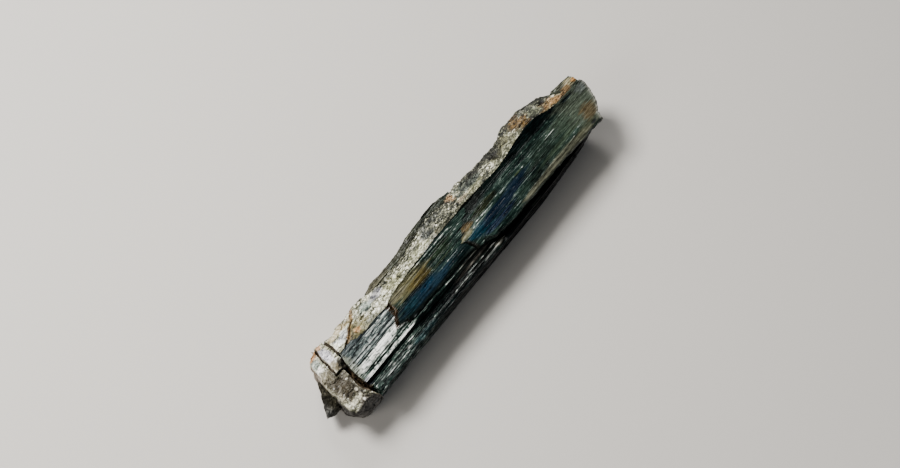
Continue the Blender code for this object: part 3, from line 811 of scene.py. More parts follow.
upperBladeLook = {
    "bands": (260, 120, 5),
    "layer": 2,
    "brokenEnd": (0.016, 0.017, 0.013),
    "stepRim": 0.40,
    "stepTo": -3.4,
    "splinters": 240,
    "paleTip": 0.60,
    "farShade": 0.12,
    "setback": 0.0,
    "shelving": 0.12,
    "feather": 1.27,
    "closer": (1.0, 1.0),
    "lines": [
        (-2.15, 14.0, 38.5, 0.15, 0.10, 0.42), (-7.35, 13.0, 49.4, 0.15, 0.12, 0.40),
        (-2.30, -0.8, 11.0, 0.14, 0.08, 0.34), (-5.55, -1.5, 24.0, 0.12, 0.05, 0.18),
        (2.05, 2.0, 42.0, 0.90, -0.06, -0.12), (-0.75, 18.0, 44.0, 0.11, -0.10, -0.18),
        (-8.15, 12.0, 48.0, 0.10, 0.06, 0.22), (-3.75, 22.0, 50.0, 0.10, 0.05, 0.16),
        (-6.20, 24.0, 51.0, 0.09, -0.08, -0.16), (0.65, 44.8, 49.0, 0.28, -0.22, -0.45),
        (0.12, 44.0, 50.5, 0.10, 0.06, 0.28), (1.20, 47.0, 54.0, 0.12, 0.05, 0.18),
        (0.60, 17.0, 27.0, 0.12, 0.05, 0.24),
    ],
    "patches": [
        ((0.105, 0.072, 0.026), 2.0, -0.9, 2.2, 1.1, 0.88), ((0.115, 0.105, 0.056), 0.0, -2.1, 2.1, 0.9, 0.8),
        ((0.019, 0.021, 0.007), 8.8, -0.6, 5.6, 1.1, 0.75), ((0.002, 0.024, 0.040), 3.6, -4.5, 5.6, 1.4, 0.9),
        ((0.0012, 0.006, 0.015), 14.0, -4.0, 10.5, 1.6, 0.95),
        ((0.006, 0.012, 0.034), 8.6, -6.2, 6.6, 0.9, 0.75),
        # the near-black patches along y 2 to 2.6 are painted shadow of the mica ridge
        ((0.0015, 0.006, 0.005), 20.0, 2.0, 24.0, 2.5, 0.95),
        ((0.105, 0.105, 0.072), 31.0, -8.2, 17.0, 1.0, 0.88),
        ((0.056, 0.078, 0.054), 42.5, -2.5, 7.0, 3.6, 0.7),
        ((0.054, 0.064, 0.046), 48.5, -2.5, 7.0, 7.0, 0.72),
        ((0.016, 0.026, 0.017), 34.0, -3.6, 12.0, 4.0, 0.5),
        ((0.075, 0.050, 0.022), 48.4, -5.4, 3.4, 1.7, 0.7), ((0.13, 0.145, 0.14), 52.4, 0.0, 2.6, 1.3, 0.5),
        ((0.003, 0.004, 0.009), 46.2, -8.2, 1.3, 0.5, 0.85),
        ((0.034, 0.034, 0.016), 44.0, -7.9, 4.0, 0.7, 0.45),
        ((0.001, 0.005, 0.005), 30.0, 2.6, 13.0, 1.5, 0.92),
        ((0.003, 0.008, 0.006), 5.0, 2.0, 7.0, 1.6, 0.85),
        ((0.050, 0.066, 0.026), 21.7, -2.15, 1.4, 0.22, 0.55),
        ((0.0015, 0.012, 0.018), 47.0, 0.65, 2.0, 0.4, 0.8),
        ((0.013, 0.022, 0.015), 26.0, -6.4, 12.0, 1.2, 0.45),
        ((0.06, 0.085, 0.05), 36.0, -5.6, 9.0, 0.5, 0.35),
    ],
}


# both thin blades
thinBladeLook = {
    "ends": ((-6.0, 2.8), (-9.4, 1.5)),          # y of the step's and the tip's two corners
    "teeth": 26, "toothLength": 0.24, "tipTeeth": 30, "tipToothLength": 0.14,
    "ragged": [(13, 0.12, 5.5), (15, 0.09, 1.3), (17, 0.06, 0.5)],     # near edge: (seed, depth, size)
    "rimWear": 0.28, "rimWidth": 0.22, "shelfWidth": 0.45, "bedding": 0.1,
    "farFrom": (-3.4, -2.2), "slopeLength": 9, "slopeEnds": (12, 9), "bandTone": 0.10, "cloudTone": 0.06,
    # (seed, width, run, rise, lean, seam depth, tone, seam tone)
    "laths": [(0, 1.30, 30, 0.08, 0.14, 0.05, 0.04, 0.06), (10, 0.48, 16, 0.04, 0.08, 0.03, 0.08, 0.08),
              (20, 0.23, 6, 0.02, 0.04, 0.02, 0.15, 0.10)],
    "endStain": 0.92, "endDarkening": 0.22, "paleTip": (0.44, 0.44, 0.38), "splinterTone": (-0.05, 0.14),
}


def thinBladeShape(look, stepEdge, nearEdgeLine):
    both = thinBladeLook

    def place(u, v, w):
        teeth = both["toothLength"] * (draw(5, np.floor(v * both["teeth"])) - 0.5)
        left = along(stepEdge, mix(*both["ends"][0], v)) + (teeth + 0.22 * softNoise(7, v * 9))
        tip = along(tipEdge, mix(*both["ends"][1], v)) - look["setback"]
        tip = tip - both["tipToothLength"] * draw(9, np.floor(v * both["tipTeeth"]))
        x = mix(left, tip, along([(0, 0), look["closer"], (1, 1)], u))
        near = along(nearEdgeLine, x)
        ragged = sum(depth * softNoise(seed, x / size) for seed, depth, size in both["ragged"])
        y = mix(near + ragged, along(micaLine, x), v)
        rim = np.minimum(np.minimum(x - left, tip - x), y - near)
        far = ramp(*both["farFrom"], y)
        wornStep = 1 - ramp(0, 1, look["feather"]) * far * ramp(*both["slopeEnds"], x)
        worn = both["rimWear"] * np.exp(-np.maximum(rim, 0) / both["rimWidth"]) * w * wornStep
        worn = worn + look["shelving"] * np.exp(-np.maximum(y - near, 0) / both["shelfWidth"]) * w
        # the step's far half runs out in a long slope
        worn = worn + look["feather"] * (1 - ramp(0, both["slopeLength"], x - left)) * far * w
        thick = form["bladeThickness"] + form["gap"] + both["bedding"]    # closes on the blade below
        return x, y, faceHeight(x, y, look["layer"]) - thick * (1 - w) - worn
    return place


def buildThinBlade(name, look, stepEdge, nearEdgeLine, node, seed, tone):
    both = thinBladeLook
    blade = Surface(name, look["bands"], thinBladeShape(look, stepEdge, nearEdgeLine))
    blade.tone[:] = tone + both["bandTone"] * softNoise(seed + 60, blade.x / 14, blade.y / 1.1)
    blade.tone += both["cloudTone"] * roughNoise(seed + 64, 1.6, 3, blade.x / 2.2, blade.y)
    # painted shadow of the mica ridge along the far edge (farShade is 0 on the middle blade)
    blade.tone -= look["farShade"] * ramp(0.2, 1.6, blade.y) * window(2, 46, 3, blade.x)
    for step, *layer in both["laths"]:
        blade.laths(seed + step, *layer)
    blade.lines(look["lines"], seed + 30)
    blade.patches(look["patches"], seed + 50)
    blade.lift(0.10 * roughNoise(seed + 70, 0.5, 3, blade.y, blade.z) * blade.end, -0.08 * blade.end)
    fromStep = np.maximum(blade.x - along(stepEdge, blade.y), 0)
    onStep = np.maximum(blade.end, np.exp(-(fromStep / look["stepRim"]) ** 2)) * ramp(10.0, 0.0, blade.x)
    onStep = onStep * ramp(look["stepTo"] + 1, look["stepTo"], blade.y)
    blade.soak(look["brokenEnd"], both["endStain"], onStep)
    blade.tone -= both["endDarkening"] * onStep
    toTip = along(tipEdge, blade.y) - blade.x
    chips = 0.75 + 0.25 * softNoise(seed + 90, blade.y / 0.35)
    onTip = chips * np.exp(-np.maximum(toTip - 0.50, 0) / 0.35) * (toTip < 3)
    blade.soak(both["paleTip"], look["paleTip"], onTip)
    splinters = dict(baseBladeLook["splinters"], seed=seed + 80, count=look["splinters"],
                     tone=both["splinterTone"])
    blade.finish(kyanite, [node], bits=[(splinter, splinters, blade.top + 0.001)])


buildThinBlade("blueBlade", middleBladeLook, stepAEdge, middleNear, "middle_blade", 101, 0.31)
buildThinBlade("tealBlade", upperBladeLook, stepBEdge, upperNear, "upper_blade", 201, 0.34)


# dark strip down the near flank
nearStripLook = {
    "bands": (300, 16, 60),
    "start": -43.3, "end": (42.0, 46.5), "taperFrom": 0.8, "taper": 0.55,
    "tone": (0.32, 0.04), "darkFrom": (-30, -15),
    # (seed, width, run, rise, lean, seam depth, tone, seam tone)
    "laths": [(301, 1.25, 24, 0.30, 0.20, 0.14, 0.10, 0.12), (311, 0.50, 11, 0.10, 0.08, 0.06, 0.15, 0.12),
              (315, 0.25, 4, 0.03, 0.03, 0.02, 0.26, 0.12)],
    "grains": (318, (1.3, 0.45, 0.6), 0.05, 0.10, 0.03, 0.40, 0.10),
    "paintedFlankShade": ((0.0035, 0.0040, 0.0038), 0.80), "flankGlow": 0.08, "endRoughness": 0.25,
    "splinters": dict(baseBladeLook["splinters"], seed=381, count=300, tone=(-0.06, 0.22)),
    # the pale lines are partly pale fibres and partly painted glints
    "lines": [
        (-8.80, -39.0, -31.0, 0.18, 0.12, 0.70), (-8.40, -12.5, -5.5, 0.22, 0.14, 1.10),
        (-7.85, -6.0, 5.2, 0.24, 0.14, 1.10), (-8.95, -1.5, 6.2, 0.19, 0.12, 1.00),
        (-9.25, 8.0, 36.0, 0.09, 0.08, 0.45), (-9.40, 18.0, 22.0, 0.12, 0.08, 0.45),
        (-9.30, -37.0, -26.0, 0.14, 0.10, 0.60), (-9.30, -43.0, 0.0, 0.12, -0.10, -0.25),
    ],
    "patches": [
        ((0.012, 0.036, 0.040), -26.0, -8.9, 4.2, 0.8, 0.65),
        ((0.008, 0.007, 0.005), 26.0, -9.2, 20.0, 0.9, 0.65),
        ((0.040, 0.050, 0.046), -38.0, -8.6, 6.0, 0.9, 0.5),
        ((0.009, 0.008, 0.007), -2.0, -8.6, 12.0, 1.2, 0.6),
        # the pale patches are partly pale fibres and partly painted glints
        ((0.30, 0.31, 0.29), -36.2, -8.0, 0.8, 0.35, 0.7), ((0.30, 0.31, 0.29), -30.6, -8.1, 0.6, 0.35, 0.7),
        ((0.22, 0.21, 0.17), 5.0, -8.9, 1.6, 0.5, 0.7),
    ],
}


def nearStripShape(u, v, w):
    look = nearStripLook
    x = mix(look["start"], mix(*look["end"], w), u)
    v = 1 - v
    height = mix(form["stripFoot"], along(stripTop, x) + 0.3 * v, w)
    outer = mix(form["stripFootY"], along(nearEdge, x), w)
    inner = nearWallY(x, height) - 0.5 * form["gap"]
    taper = 1 - look["taper"] * np.clip((u - look["taperFrom"]) / (1 - look["taperFrom"]), 0, 1)
    return x, mix(inner, mix(inner, outer, taper), v), height


def buildNearStrip():
    look = nearStripLook
    strip = Surface("nearStrip", look["bands"], nearStripShape)
    strip.tone[:] = mix(*look["tone"], ramp(*look["darkFrom"], strip.x))
    strip.tone += 0.08 * softNoise(299, strip.x / 11, strip.across / 1.2)
    for layer in look["laths"]:
        strip.laths(*layer)
    strip.grains(*look["grains"], ramp(5, -15, strip.x))
    strip.lines(look["lines"], 321)
    strip.patches(look["patches"], 341)
    flank = ramp(0.3, 0.9, -strip.out[1])
    strip.tone += look["flankGlow"] * flank * ramp(9.5, 7.5, strip.z) * ramp(5, -25, strip.x)
    # painted shade: the near flank, and a little of the top, darkened toward +X as if in shadow
    strip.soak(*look["paintedFlankShade"], ramp(-22, 8, strip.x) * np.maximum(flank, 0.3 * strip.top))
    strip.lift(look["endRoughness"] * roughNoise(361, 0.8, 3, strip.y, strip.z) * strip.end)
    outside = 0.02 + strip.top + 0.6 * ramp(0.3, 0.7, -strip.out[1])
    strip.finish(kyanite, ["near_side_blade"], bits=[(splinter, look["splinters"], outside)])


buildNearStrip()


# mica along the far edge
micaRindLook = {
    "bands": (380, 40, 44),
    "bladesFrom": ((-26.4, -25.6), (-1.0, 10.0)), "innerSlope": 0.22, "innerSink": 0.1, "footInset": 1.0,
    "reach": 0.30, "reachSwing": 0.10, "reachLess": 0.16, "lessFrom": (-24.0, -11.0, 1.5),
    "tone": 0.48, "toneSwing": 0.22, "roughness": 0.34,
    "silverEnd": (-34, -20, 2.5), "paleRim": (-16, 12, 3), "paleMiddle": (-6, 9, 2), "dullFrom": (6, 20),
    # (x, y, half length, half width, share of the depth)
    "hollows": [(23.2, 5.7, 1.5, 1.1, 1.0), (43.1, 5.5, 0.8, 0.6, 0.9), (-5.2, 5.9, 1.8, 1.5, 0.5)],
    "hollowDepth": 1.3, "paintedHollowShade": 0.3,
    # (seed, size, rise, lean, seam depth, tone, seam tone)
    "broadGrains": (431, (2.8, 1.3, 1.3), 0.26, 0.52, 0.05, 0.20, 0.08),
    "fineGrains": (441, (0.85, 0.40, 0.40), 0.10, 0.24, 0.03, 0.62, 0.14),
    "middleGrains": (445, (0.90, 0.62, 0.62), 0.12, 0.20, 0.08, 0.20, 0.22), "middle": (-4.0, 7.0, 1.5),
    "laths": (435, 0.55, 7, 0.14, 0.10, 0.05, 0.26, 0.20), "lathsFrom": (9, 20),
    "startStain": ((0.13, 0.070, 0.020), 0.9),
    "flakeSeeds": (461, 462),
    "flakes": {"count": 1300, "size": [(0.22, 0.70), (0.16, 0.42), (0.06, 0.11)], "lean": 0.5, "spin": 3.1,
               "sink": 0.1, "tone": (-0.22, 0.40), "stain": 0.9},
    # the near-black stains at the hollows near x -5.2, 23.2 and 43.1 are painted shade
    "patches": [
        ((0.135, 0.118, 0.048), -34.8, 4.0, 3.6, 2.4, 0.92), ((0.34, 0.16, 0.04), -34.8, 3.8, 0.9, 0.9, 0.75),
        ((0.040, 0.048, 0.036), -31.2, 3.0, 1.6, 0.7, 0.6), ((0.31, 0.31, 0.16), -20.0, 4.6, 5.0, 1.8, 0.55),
        ((0.28, 0.29, 0.16), -9.5, 4.4, 5.0, 1.4, 0.45), ((0.12, 0.17, 0.15), -28.6, 6.0, 2.4, 1.4, 0.7),
        ((0.26, 0.26, 0.32), -24.6, 6.2, 2.6, 1.4, 0.55), ((0.008, 0.013, 0.011), -5.2, 5.9, 2.2, 2.0, 0.92),
        ((0.020, 0.025, 0.020), -2.0, 7.2, 4.0, 1.0, 0.75), ((0.30, 0.17, 0.07), 6.6, 7.4, 1.5, 2.0, 0.85),
        ((0.32, 0.25, 0.15), 8.0, 4.6, 2.4, 0.9, 0.6), ((0.045, 0.060, 0.050), 12.4, 6.0, 4.6, 2.1, 0.8),
        ((0.22, 0.22, 0.11), 12.0, 4.0, 4.0, 0.8, 0.5), ((0.010, 0.007, 0.005), 23.2, 5.8, 2.1, 1.5, 0.95),
        ((0.108, 0.060, 0.012), 34.7, 6.2, 3.1, 3.9, 1.0), ((0.004, 0.003, 0.002), 43.1, 5.5, 1.2, 0.9, 1.0),
        ((0.18, 0.105, 0.030), 43.2, 3.5, 3.8, 2.0, 0.75), ((0.50, 0.29, 0.11), 44.8, 3.0, 2.0, 1.2, 0.78),
        ((0.20, 0.10, 0.03), 41.6, 3.0, 1.0, 0.8, 0.7), ((0.24, 0.13, 0.045), 48.4, 2.2, 3.0, 0.7, 0.8),
        ((0.14, 0.14, 0.075), 26.5, 4.6, 6.0, 1.6, 0.6), ((0.17, 0.16, 0.08), 28.5, 6.6, 2.8, 1.8, 0.6),
        ((0.17, 0.19, 0.12), 39.5, 5.0, 2.8, 1.9, 0.6), ((0.024, 0.028, 0.020), 39.0, 7.8, 4.4, 1.1, 0.75),
        ((0.050, 0.050, 0.030), -16.0, 7.4, 9.0, 0.8, 0.7),
        ((0.042, 0.042, 0.027), 20.0, 7.5, 9.0, 1.3, 0.75), ((0.24, 0.17, 0.08), -3.4, 3.9, 1.6, 0.4, 0.35),
        ((0.46, 0.42, 0.28), 48.0, 3.6, 1.8, 1.0, 0.6),
    ],
}


# the shallow trough that follows the slanting crack
trough = {"depth": 0.34, "width": 0.55, "stain": ((0.135, 0.076, 0.020), 0.95), "stainWidth": 0.75}


def troughDepth(distance, w):
    return trough["depth"] * np.exp(-(distance / trough["width"]) ** 2) * ramp(0.8, 1.0, w)


def troughStain(distance):
    return np.exp(-(distance / trough["stainWidth"]) ** 2)


def crackX(v):
    y = mix(*form["crackY"], v)
    return along(crackLine, y) + 0.22 * softNoise(403, y / 0.6)


def crackOpen(w):
    return ramp(*form["crackDepth"], w)


def sideBladeWidth(x):
    # the far blade narrows at its two ends
    start, end = form["sideBlade"]
    share = (x - start) / (end - start)
    return (form["sideBladeWidth"] + form["gap"]) * np.clip(0.4 + 6 * np.minimum(share, 1 - share), 0.4, 1)


def rindSection(x, v, w, reach=0.0):
    look = micaRindLook
    start, end = form["sideBlade"]
    innerLow = farWallY(x, form["rindFoot"]) + form["gap"]
    innerHigh = along(micaLine, x) + form["gap"] - reach
    beside = window(start - form["rebateEnd"], end + form["rebateEnd"], 0.25, x)
    outer = along(farEdge, x) - (sideBladeWidth(x) - reach) * beside
    top = mix(crestHeight(x), along(rimLine, x), v)
    # the inner edge comes down to the blade that shows beside it
    shown = sum(ramp(*starts, x) for starts in look["bladesFrom"])
    beach = faceHeight(x, along(micaLine, x), shown) - look["innerSink"]
    top = mix(np.minimum(beach, top), top, ramp(0, look["innerSlope"], v) ** 0.7)
    inner = mix(innerLow, innerHigh, w)
    return mix(inner, mix(outer - look["footInset"], outer, w), v), mix(form["rindFoot"], top, w)


def tipSeamX(y):
    return form["tipSeamX"] - form["tipSeamSlope"] * y


def micaRindShape(u, v, w):
    look = micaRindLook
    left = crackX(v) + 0.04
    yAtTip = rindSection(np.full_like(u, form["tipSeamX"] - 3.5), v, w)[0]
    x = mix(left, tipSeamX(yAtTip) - 0.1, u)
    reach = look["reach"] + look["reachSwing"] * softNoise(401, x / 3.0)
    y, z = rindSection(x, v, w, reach - look["reachLess"] * window(*look["lessFrom"], x))
    return x, y, z


def buildMicaRind():
    look = micaRindLook
    rind = Surface("micaRind", look["bands"], micaRindShape, streak=1.6)
    x, y, z = rind.x, rind.y, rind.z
    inward = ramp(0.02, 0.25, rind.v)
    rind.tone[:] = look["tone"] + look["toneSwing"] * roughNoise(411, 3.6, 3, x / 1.8, y, z)
    rind.tone += 0.08 * window(*look["silverEnd"], x) - 0.07 * ramp(*look["dullFrom"], x)
    rind.tone += 0.10 * window(*look["paleRim"], x) * np.exp(-(rind.v / 0.12) ** 2)
    rind.tone += 0.13 * window(*look["paleMiddle"], x) * ramp(0.45, 0.1, rind.v)
    rind.tone -= 0.19 * ramp(0.62, 0.85, rind.v)      # the far side is duller
    rind.lift(look["roughness"] * roughNoise(421, 4.5, 3, x / 1.6, y, z) * inward + 0.06 * (1 - inward))
    fromCrack = x - crackX(rind.v)
    rind.z = z - troughDepth(fromCrack, rind.w)
    # hollows: sunk in, and darkened with painted shade
    hollow = sum(share * np.exp(-((x - holeX) / long) ** 2 - ((y - holeY) / wide) ** 2)
                 for holeX, holeY, long, wide, share in look["hollows"])
    rind.lift(-look["hollowDepth"] * hollow, -look["paintedHollowShade"] * hollow)
    rind.grains(*look["broadGrains"], 0.3 + 0.7 * inward)
    rind.laths(*look["laths"], ramp(*look["lathsFrom"], x))
    rind.grains(*look["fineGrains"], 0.4 + 0.6 * inward)
    rind.grains(*look["middleGrains"], window(*look["middle"], x) * inward)
    rind.patches(look["patches"], 451)
    rind.soak(*trough["stain"], troughStain(fromCrack))
    rind.soak(*look["startStain"], rind.end * ramp(-28, -31, x))
    bare = (0.02 + rind.top + 0.7 * ramp(0.2, 0.7, rind.out[1])) * ramp(0.03, 0.14, rind.v)
    rind.finish(mica, ["mica_rind"], angle=32,
                bits=[(model, dict(look["flakes"], seed=seed), bare)
                      for model, seed in zip(flakes, look["flakeSeeds"])])


buildMicaRind()

# narrow blades beside the mica
sideBladeLook = {
    # (seed, width, run, rise, lean, seam depth, tone, seam tone)
    "laths": [(0, 0.62, 14, 0.22, 0.18, 0.12, 0.32, 0.32), (10, 0.30, 6, 0.08, 0.06, 0.06, 0.36, 0.26)],
    "roughness": 0.22,
    "far": {"bands": (170, 14, 44), "tone": 0.36, "rise": 0.15, "fall": 0.5, "footInset": 1.0, "patches": [
        ((0.058, 0.057, 0.038), -8.7, 9.4, 24.0, 9.0, 0.75), ((0.020, 0.026, 0.020), 0.0, 9.6, 6.0, 9.0, 0.6),
        ((0.15, 0.13, 0.08), -22.0, 9.0, 5.0, 2.0, 0.3)]},
    "tip": {"bands": (50, 26, 60), "tone": 0.54, "start": (48.0, 1.5), "farEnds": (5.4, 5.0),
            "end": (49.0, 53.6), "outer": [(45.0, 5.0), (54.0, 4.3)], "fall": 0.6, "patches": [
        ((0.085, 0.085, 0.060), 50.0, 3.2, 4.0, 3.0, 0.8), ((0.24, 0.21, 0.12), 51.8, 3.4, 2.2, 1.5, 0.75),
        ((0.16, 0.09, 0.035), 49.2, 2.4, 1.6, 0.9, 0.7), ((0.34, 0.16, 0.045), 53.0, 2.4, 1.1, 0.7, 0.8)]},
}


def farBladeShape(u, v, w):
    look = sideBladeLook["far"]
    x = mix(*form["sideBlade"], u)
    y = along(farEdge, x) - sideBladeWidth(x) * (1 - v)
    top = along(rimLine, x) + look["rise"] - look["fall"] * v
    return x, y - look["footInset"] * (1 - w), mix(form["sideBladeFoot"], top, w)


def tipBladeShape(u, v, w):
    look = sideBladeLook["tip"]
    foot = form["sideTipFoot"]
    startX, startTopY = look["start"]
    nearSeam = mix(farWallY(np.full_like(u, startX), foot), startTopY, w) + form["gap"]
    start = tipSeamX(mix(nearSeam, mix(*look["farEnds"], w), v)) - 0.5
    x = mix(start, mix(*look["end"], w) - 0.4 * v, u)
    beach = faceHeight(x, along(micaLine, x), 2) - 0.05
    height = mix(foot, mix(beach, crestHeight(x) - look["fall"] * v, ramp(0, 0.45, v)), w)
    inner = mix(farWallY(x, foot), along(micaLine, x), w) - 0.25 * w
    outer = along(look["outer"], x)
    return x, mix(inner, mix(outer + 0.4, outer, w), v), height


def buildSideBlade(name, kind, shape, node, seed):
    look = sideBladeLook[kind]
    blade = Surface(name, look["bands"], shape)
    blade.tone[:] = look["tone"]
    for step, *layer in sideBladeLook["laths"]:
        blade.laths(seed + step, *layer)
    blade.lift(sideBladeLook["roughness"] * roughNoise(seed + 20, 0.8, 3, blade.x / 3, blade.y, blade.z))
    blade.patches(look["patches"], seed + 30)
    blade.finish(kyanite, [node])


buildSideBlade("farBlade", "far", farBladeShape, "far_side_blade", 501)
buildSideBlade("tipBlade", "tip", tipBladeShape, "tip_side_blade", 541)

# pale blocks at the -X end; the looks of each, and what they share
endLook = {
    "chip": {"bands": (80, 44, 50), "tone": 0.72, "reach": 0.2, "lumps": 0.14, "crack": (0.024, 0.014, 0.006),
             "patches": [
        ((0.22, 0.16, 0.07), -37.0, 7.6, 4.6, 0.9, 0.65), ((0.34, 0.36, 0.42), -38.2, 5.4, 2.8, 1.2, 0.5),
        ((0.30, 0.22, 0.09), -38.4, 3.4, 2.2, 0.6, 0.6), ((0.12, 0.11, 0.08), -33.5, 7.9, 2.4, 0.6, 0.6)]},
    "inner": {"bands": (34, 70, 80), "tone": 0.74, "lumps": 0.12, "crack": (0.040, 0.022, 0.009),
              "start": 0.6, "far": (8.4, 9.2), "rise": 0.3, "recessY": (2.9, 1.0), "recess": 0.9, "patches": [
        # the dark brown at (-43.4, 1.3), in the recess by the crack, is painted shade
        ((0.44, 0.42, 0.52), -44.6, 5.4, 1.4, 2.6, 0.6), ((0.022, 0.016, 0.009), -43.4, 1.3, 2.2, 1.5, 0.9),
        ((0.16, 0.13, 0.08), -45.6, 2.0, 1.2, 1.6, 0.7), ((0.30, 0.14, 0.05), -44.8, 8.4, 2.0, 0.8, 0.8)]},
    "outer": {"bands": (60, 130, 84), "tone": 0.64, "farTone": 0.16, "lumps": 0.22, "flakes": 420,
              "crack": (0.040, 0.022, 0.009), "far": (8.5, 9.3), "splitRows": (0.625, 0.6875),
              "splitWidth": 0.35, "nearUndercut": 2.2, "nearFrom": (-3.5, -8.0), "deepFrom": (0.70, 0.98),
              "bulge": [(0.0, -7.9), (0.4, -9.5), (0.75, -10.3), (0.9, -10.2), (1.0, -9.7)], "patches": [
        # the near-white spots are partly white grains and partly painted highlights
        ((0.21, 0.25, 0.235), -48.0, 6.0, 1.8, 1.5, 0.7), ((0.30, 0.13, 0.04), -46.6, 8.1, 3.0, 0.9, 0.9),
        ((0.86, 0.84, 0.79), -48.6, 4.4, 1.5, 0.9, 0.85), ((0.13, 0.112, 0.070), -48.6, 1.4, 2.8, 2.4, 0.85),
        ((0.022, 0.016, 0.008), -46.4, -2.9, 4.2, 5.6, 0.95),
        ((0.034, 0.026, 0.014), -49.2, -2.2, 3.0, 4.2, 0.92),
        ((0.022, 0.015, 0.008), -46.9, -8.2, 3.0, 1.0, 0.9),
        ((0.58, 0.55, 0.42), -48.9, -6.7, 2.4, 0.7, 0.85), ((0.86, 0.83, 0.74), -47.3, -8.0, 0.6, 0.45, 0.95),
        ((0.86, 0.83, 0.74), -46.2, -9.2, 0.5, 0.45, 0.95), ((0.40, 0.36, 0.26), -51.0, -3.0, 0.9, 2.4, 0.6),
        ((0.80, 0.77, 0.66), -46.2, -1.8, 0.35, 0.35, 0.9), ((0.60, 0.56, 0.46), -46.7, -5.0, 0.45, 0.4, 0.8),
        ((0.10, 0.13, 0.09), -48.0, -9.4, 3.4, 0.5, 0.6)]},
    # the foot's low tone, its olive coat and its two near-black patches are partly its own olive colour and
    # partly painted shade
    "foot": {"bands": (40, 50, 50), "tone": 0.08, "lumps": 0.10, "crack": (0.030, 0.018, 0.008),
             "tip": (-54.55, -1.9, 4.6), "tipSize": 0.15, "height": (1.0, 8.8), "middle": 4.9,
             "corners": 0.24,        # how far its four long edges are drawn in
             "coat": ((0.0290, 0.0240, 0.0085), 0.85), "paleEnd": ((0.13, 0.13, 0.12), 0.8), "patches": [
        ((0.010, 0.0095, 0.004), -50.4, 1.6, 4.6, 5.6, 0.95),
        ((0.11, 0.11, 0.115), -53.9, -2.0, 1.1, 1.3, 0.85),
        ((0.005, 0.004, 0.002), -50.8, -1.6, 2.2, 4.4, 0.9)]},
    "undercut": 1.7, "height": 11.9, "slope": 0.04, "crown": 0.012, "farRise": 0.10, "farRiseFrom": 3,
    "rounding": 1.6, "farSharpness": 2.2, "splitY": 0.25,
    "farReach": 9.25,        # keeps the far corners from curling out
    "toneSwing": 0.16, "lumpSize": 3.2,
    # (seed, size, rise, lean, seam depth, tone, seam tone)
    "grains": [(20, (2.6, 2.0, 1.6), 0.30, 0.55, 0.05, 0.20, 0.08),
               (30, (1.1, 0.40, 0.40), 0.07, 0.12, 0.02, 0.40, 0.10)],
    "crackStain": 0.92, "paintedFlankShade": ((0.013, 0.011, 0.0095), 0.98),
    "flakes": {"size": [(0.20, 0.75), (0.18, 0.5), (0.06, 0.12)], "lean": 0.6, "spin": 3.1, "sink": 0.1,
               "tone": (-0.30, 0.26), "stain": 0.9},
}


def chipShape(u, v, w):
    left = along(lipEdge, mix(*form["crackY"], v)) + mix(0.05, 0.40, crackOpen(w))
    x = mix(left + 0.12 * softNoise(603, v * 6), crackX(v) - 0.04, u)
    y, z = rindSection(x, v, w, endLook["chip"]["reach"])
    return x, y, z


def worn(distance):
    # how far a rounded edge drops
    inset = np.clip(endLook["rounding"] - distance, 0, endLook["rounding"])
    return endLook["rounding"] - np.sqrt(endLook["rounding"] ** 2 - inset ** 2)


def endTop(y, edges):
    crown = endLook["height"] + endLook["slope"] * y - endLook["crown"] * y * y
    crown = crown + endLook["farRise"] * np.maximum(y - endLook["farRiseFrom"], 0)
    return crown - np.maximum.reduce([worn(distance) for distance in edges])


def outerBlockShape(u, v, w):
    look = endLook["outer"]
    far = mix(*look["far"], u)
    near = along(look["bulge"], w)
    # the rows of points close up where the block steps back
    split, past = endLook["splitY"], endLook["splitY"] + look["splitWidth"]
    first, last = look["splitRows"]
    y = np.where(v < first, mix(near, split, v / first),
                 np.where(v < last, mix(split, past, (v - first) / (last - first)),
                          mix(past, far, (v - last) / (1 - last))))
    undercut = endLook["undercut"] + look["nearUndercut"] * ramp(*look["nearFrom"], y)
    left = along(endEdge, y) + undercut * (1 - w)
    atDepth = along(lipEdge, y) - form["gap"]
    nearRight = mix(atDepth, np.minimum(along(deepEdge, y), atDepth), ramp(*look["deepFrom"], w))
    farRight = along(crackEdge, y) - mix(0.10, 0.32, crackOpen(w)) + 0.12 * softNoise(703, y / 1.1)
    x = mix(left, np.where(y > split, farRight, nearRight), u)
    top = endTop(y, ((x - left) * (1 + ramp(3, 7, y)), y - near, endLook["farSharpness"] * (far - y)))
    return x, y, mix(form["blockFoot"], top, w)


def innerBlockShape(u, v, w):
    look = endLook["inner"]
    far = mix(*look["far"], w)
    y = mix(endLook["splitY"] + look["start"], far, v)
    left = along(crackEdge, y) + mix(0.10, 0.26, crackOpen(w)) + 0.12 * softNoise(653, y / 1.3)
    recess = look["recess"] * ramp(*look["recessY"], y) * crackOpen(w)
    right = along(lipEdge, y) - mix(0.2, 0.40, crackOpen(w)) - 0.12 * softNoise(655, y / 1.2) - recess
    top = endTop(y, (endLook["farSharpness"] * (far - y),)) + look["rise"] - recess * u
    return mix(left, right, u), y, mix(form["blockFoot"], top, w)


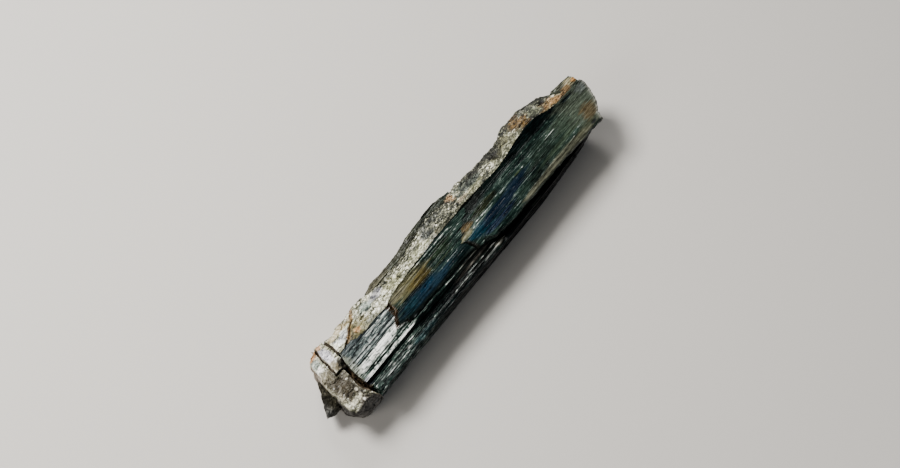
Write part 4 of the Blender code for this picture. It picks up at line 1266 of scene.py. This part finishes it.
def footShape(u, v, w):
    look = endLook["foot"]
    tipX, tipY, tipZ = look["tip"]
    size = mix(look["tipSize"], 1.0, u)
    corner = look["corners"] * (2 * v - 1) ** 2 * (2 * w - 1) ** 2
    height = mix(tipZ, mix(*look["height"], w), size)
    height = mix(height, mix(tipZ, look["middle"], size), corner)
    y = mix(tipY + mix(-1.9, 6.7 * size ** 0.6, v) * size ** 0.95, mix(-2.6, -3.6, w), (1 - v) * size)
    y = mix(y, mix(tipY, 0.6, size), corner)
    slant = endLook["undercut"] * (1 - height / endLook["height"])
    return mix(tipX + 0.25, along(endEdge, y) + slant - 0.2, u), y, height


def buildEndPiece(name, kind, shape, node, seed):
    look, shared = endLook[kind], endLook
    block = Surface(name, look["bands"], shape, streak=1.3)
    x, y, z = block.x, block.y, block.z
    # faces that look down are darker: painted shade
    block.tone[:] = look["tone"] + shared["toneSwing"] * roughNoise(seed, 2.5, 3, x, y, z) - 0.2 * block.under
    block.tone += look.get("farTone", 0) * ramp(1.5, 4.0, y)
    block.lift(look["lumps"] * roughNoise(seed + 10, shared["lumpSize"], 3, x, y, z) - look["lumps"])
    for step, *layer in shared["grains"]:
        block.grains(seed + step, *layer)
    block.y = np.minimum(block.y, shared["farReach"])
    block.patches(look["patches"], seed + 40)
    deep = ramp(0.1, 0.7, endTop(y, (y + 12,)) - z)
    block.soak(look["crack"], shared["crackStain"], block.end * ramp(-51.0, -49.5, x) * deep)
    # painted shade: flanks facing -Y, and the -X end on the near half, darkened below the top
    flank = np.maximum(ramp(0.25, 0.65, -block.out[1]), ramp(0.4, 0.8, -block.out[0]) * ramp(0, -4, y))
    block.soak(*shared["paintedFlankShade"], flank * ramp(11.6, 10.4, z))
    bits = []
    if kind == "chip":
        toCrack = crackX(block.v) - x
        block.z = block.z - troughDepth(toCrack, block.w)
        block.soak(*trough["stain"], troughStain(1.15 * toCrack))
    if kind == "outer":
        onTop = (0.02 + block.top) * ramp(8.0, 7.2, y)
        bits = [(model, dict(shared["flakes"], seed=seed + step, count=look["flakes"]), onTop)
                for step, model in enumerate(flakes, 60)]
    if kind == "foot":
        # olive coat, partly painted shade, away from the grey tip
        block.soak(*look["coat"], ramp(-54.2, -52.6, x))
        block.soak(*look["paleEnd"], ramp(-51.8, -53.6, x))
    block.finish(crust, [node], angle=38, bits=bits)


buildEndPiece("paleChip", "chip", chipShape, "silver_chip", 601)
buildEndPiece("innerBlock", "inner", innerBlockShape, "end_inner_block", 651)
buildEndPiece("outerBlock", "outer", outerBlockShape, "end_outer_block", 701)
buildEndPiece("footShard", "foot", footShape, "foot_fragment", 751)

for model in (splinter, *flakes):
    bpy.data.objects.remove(model)
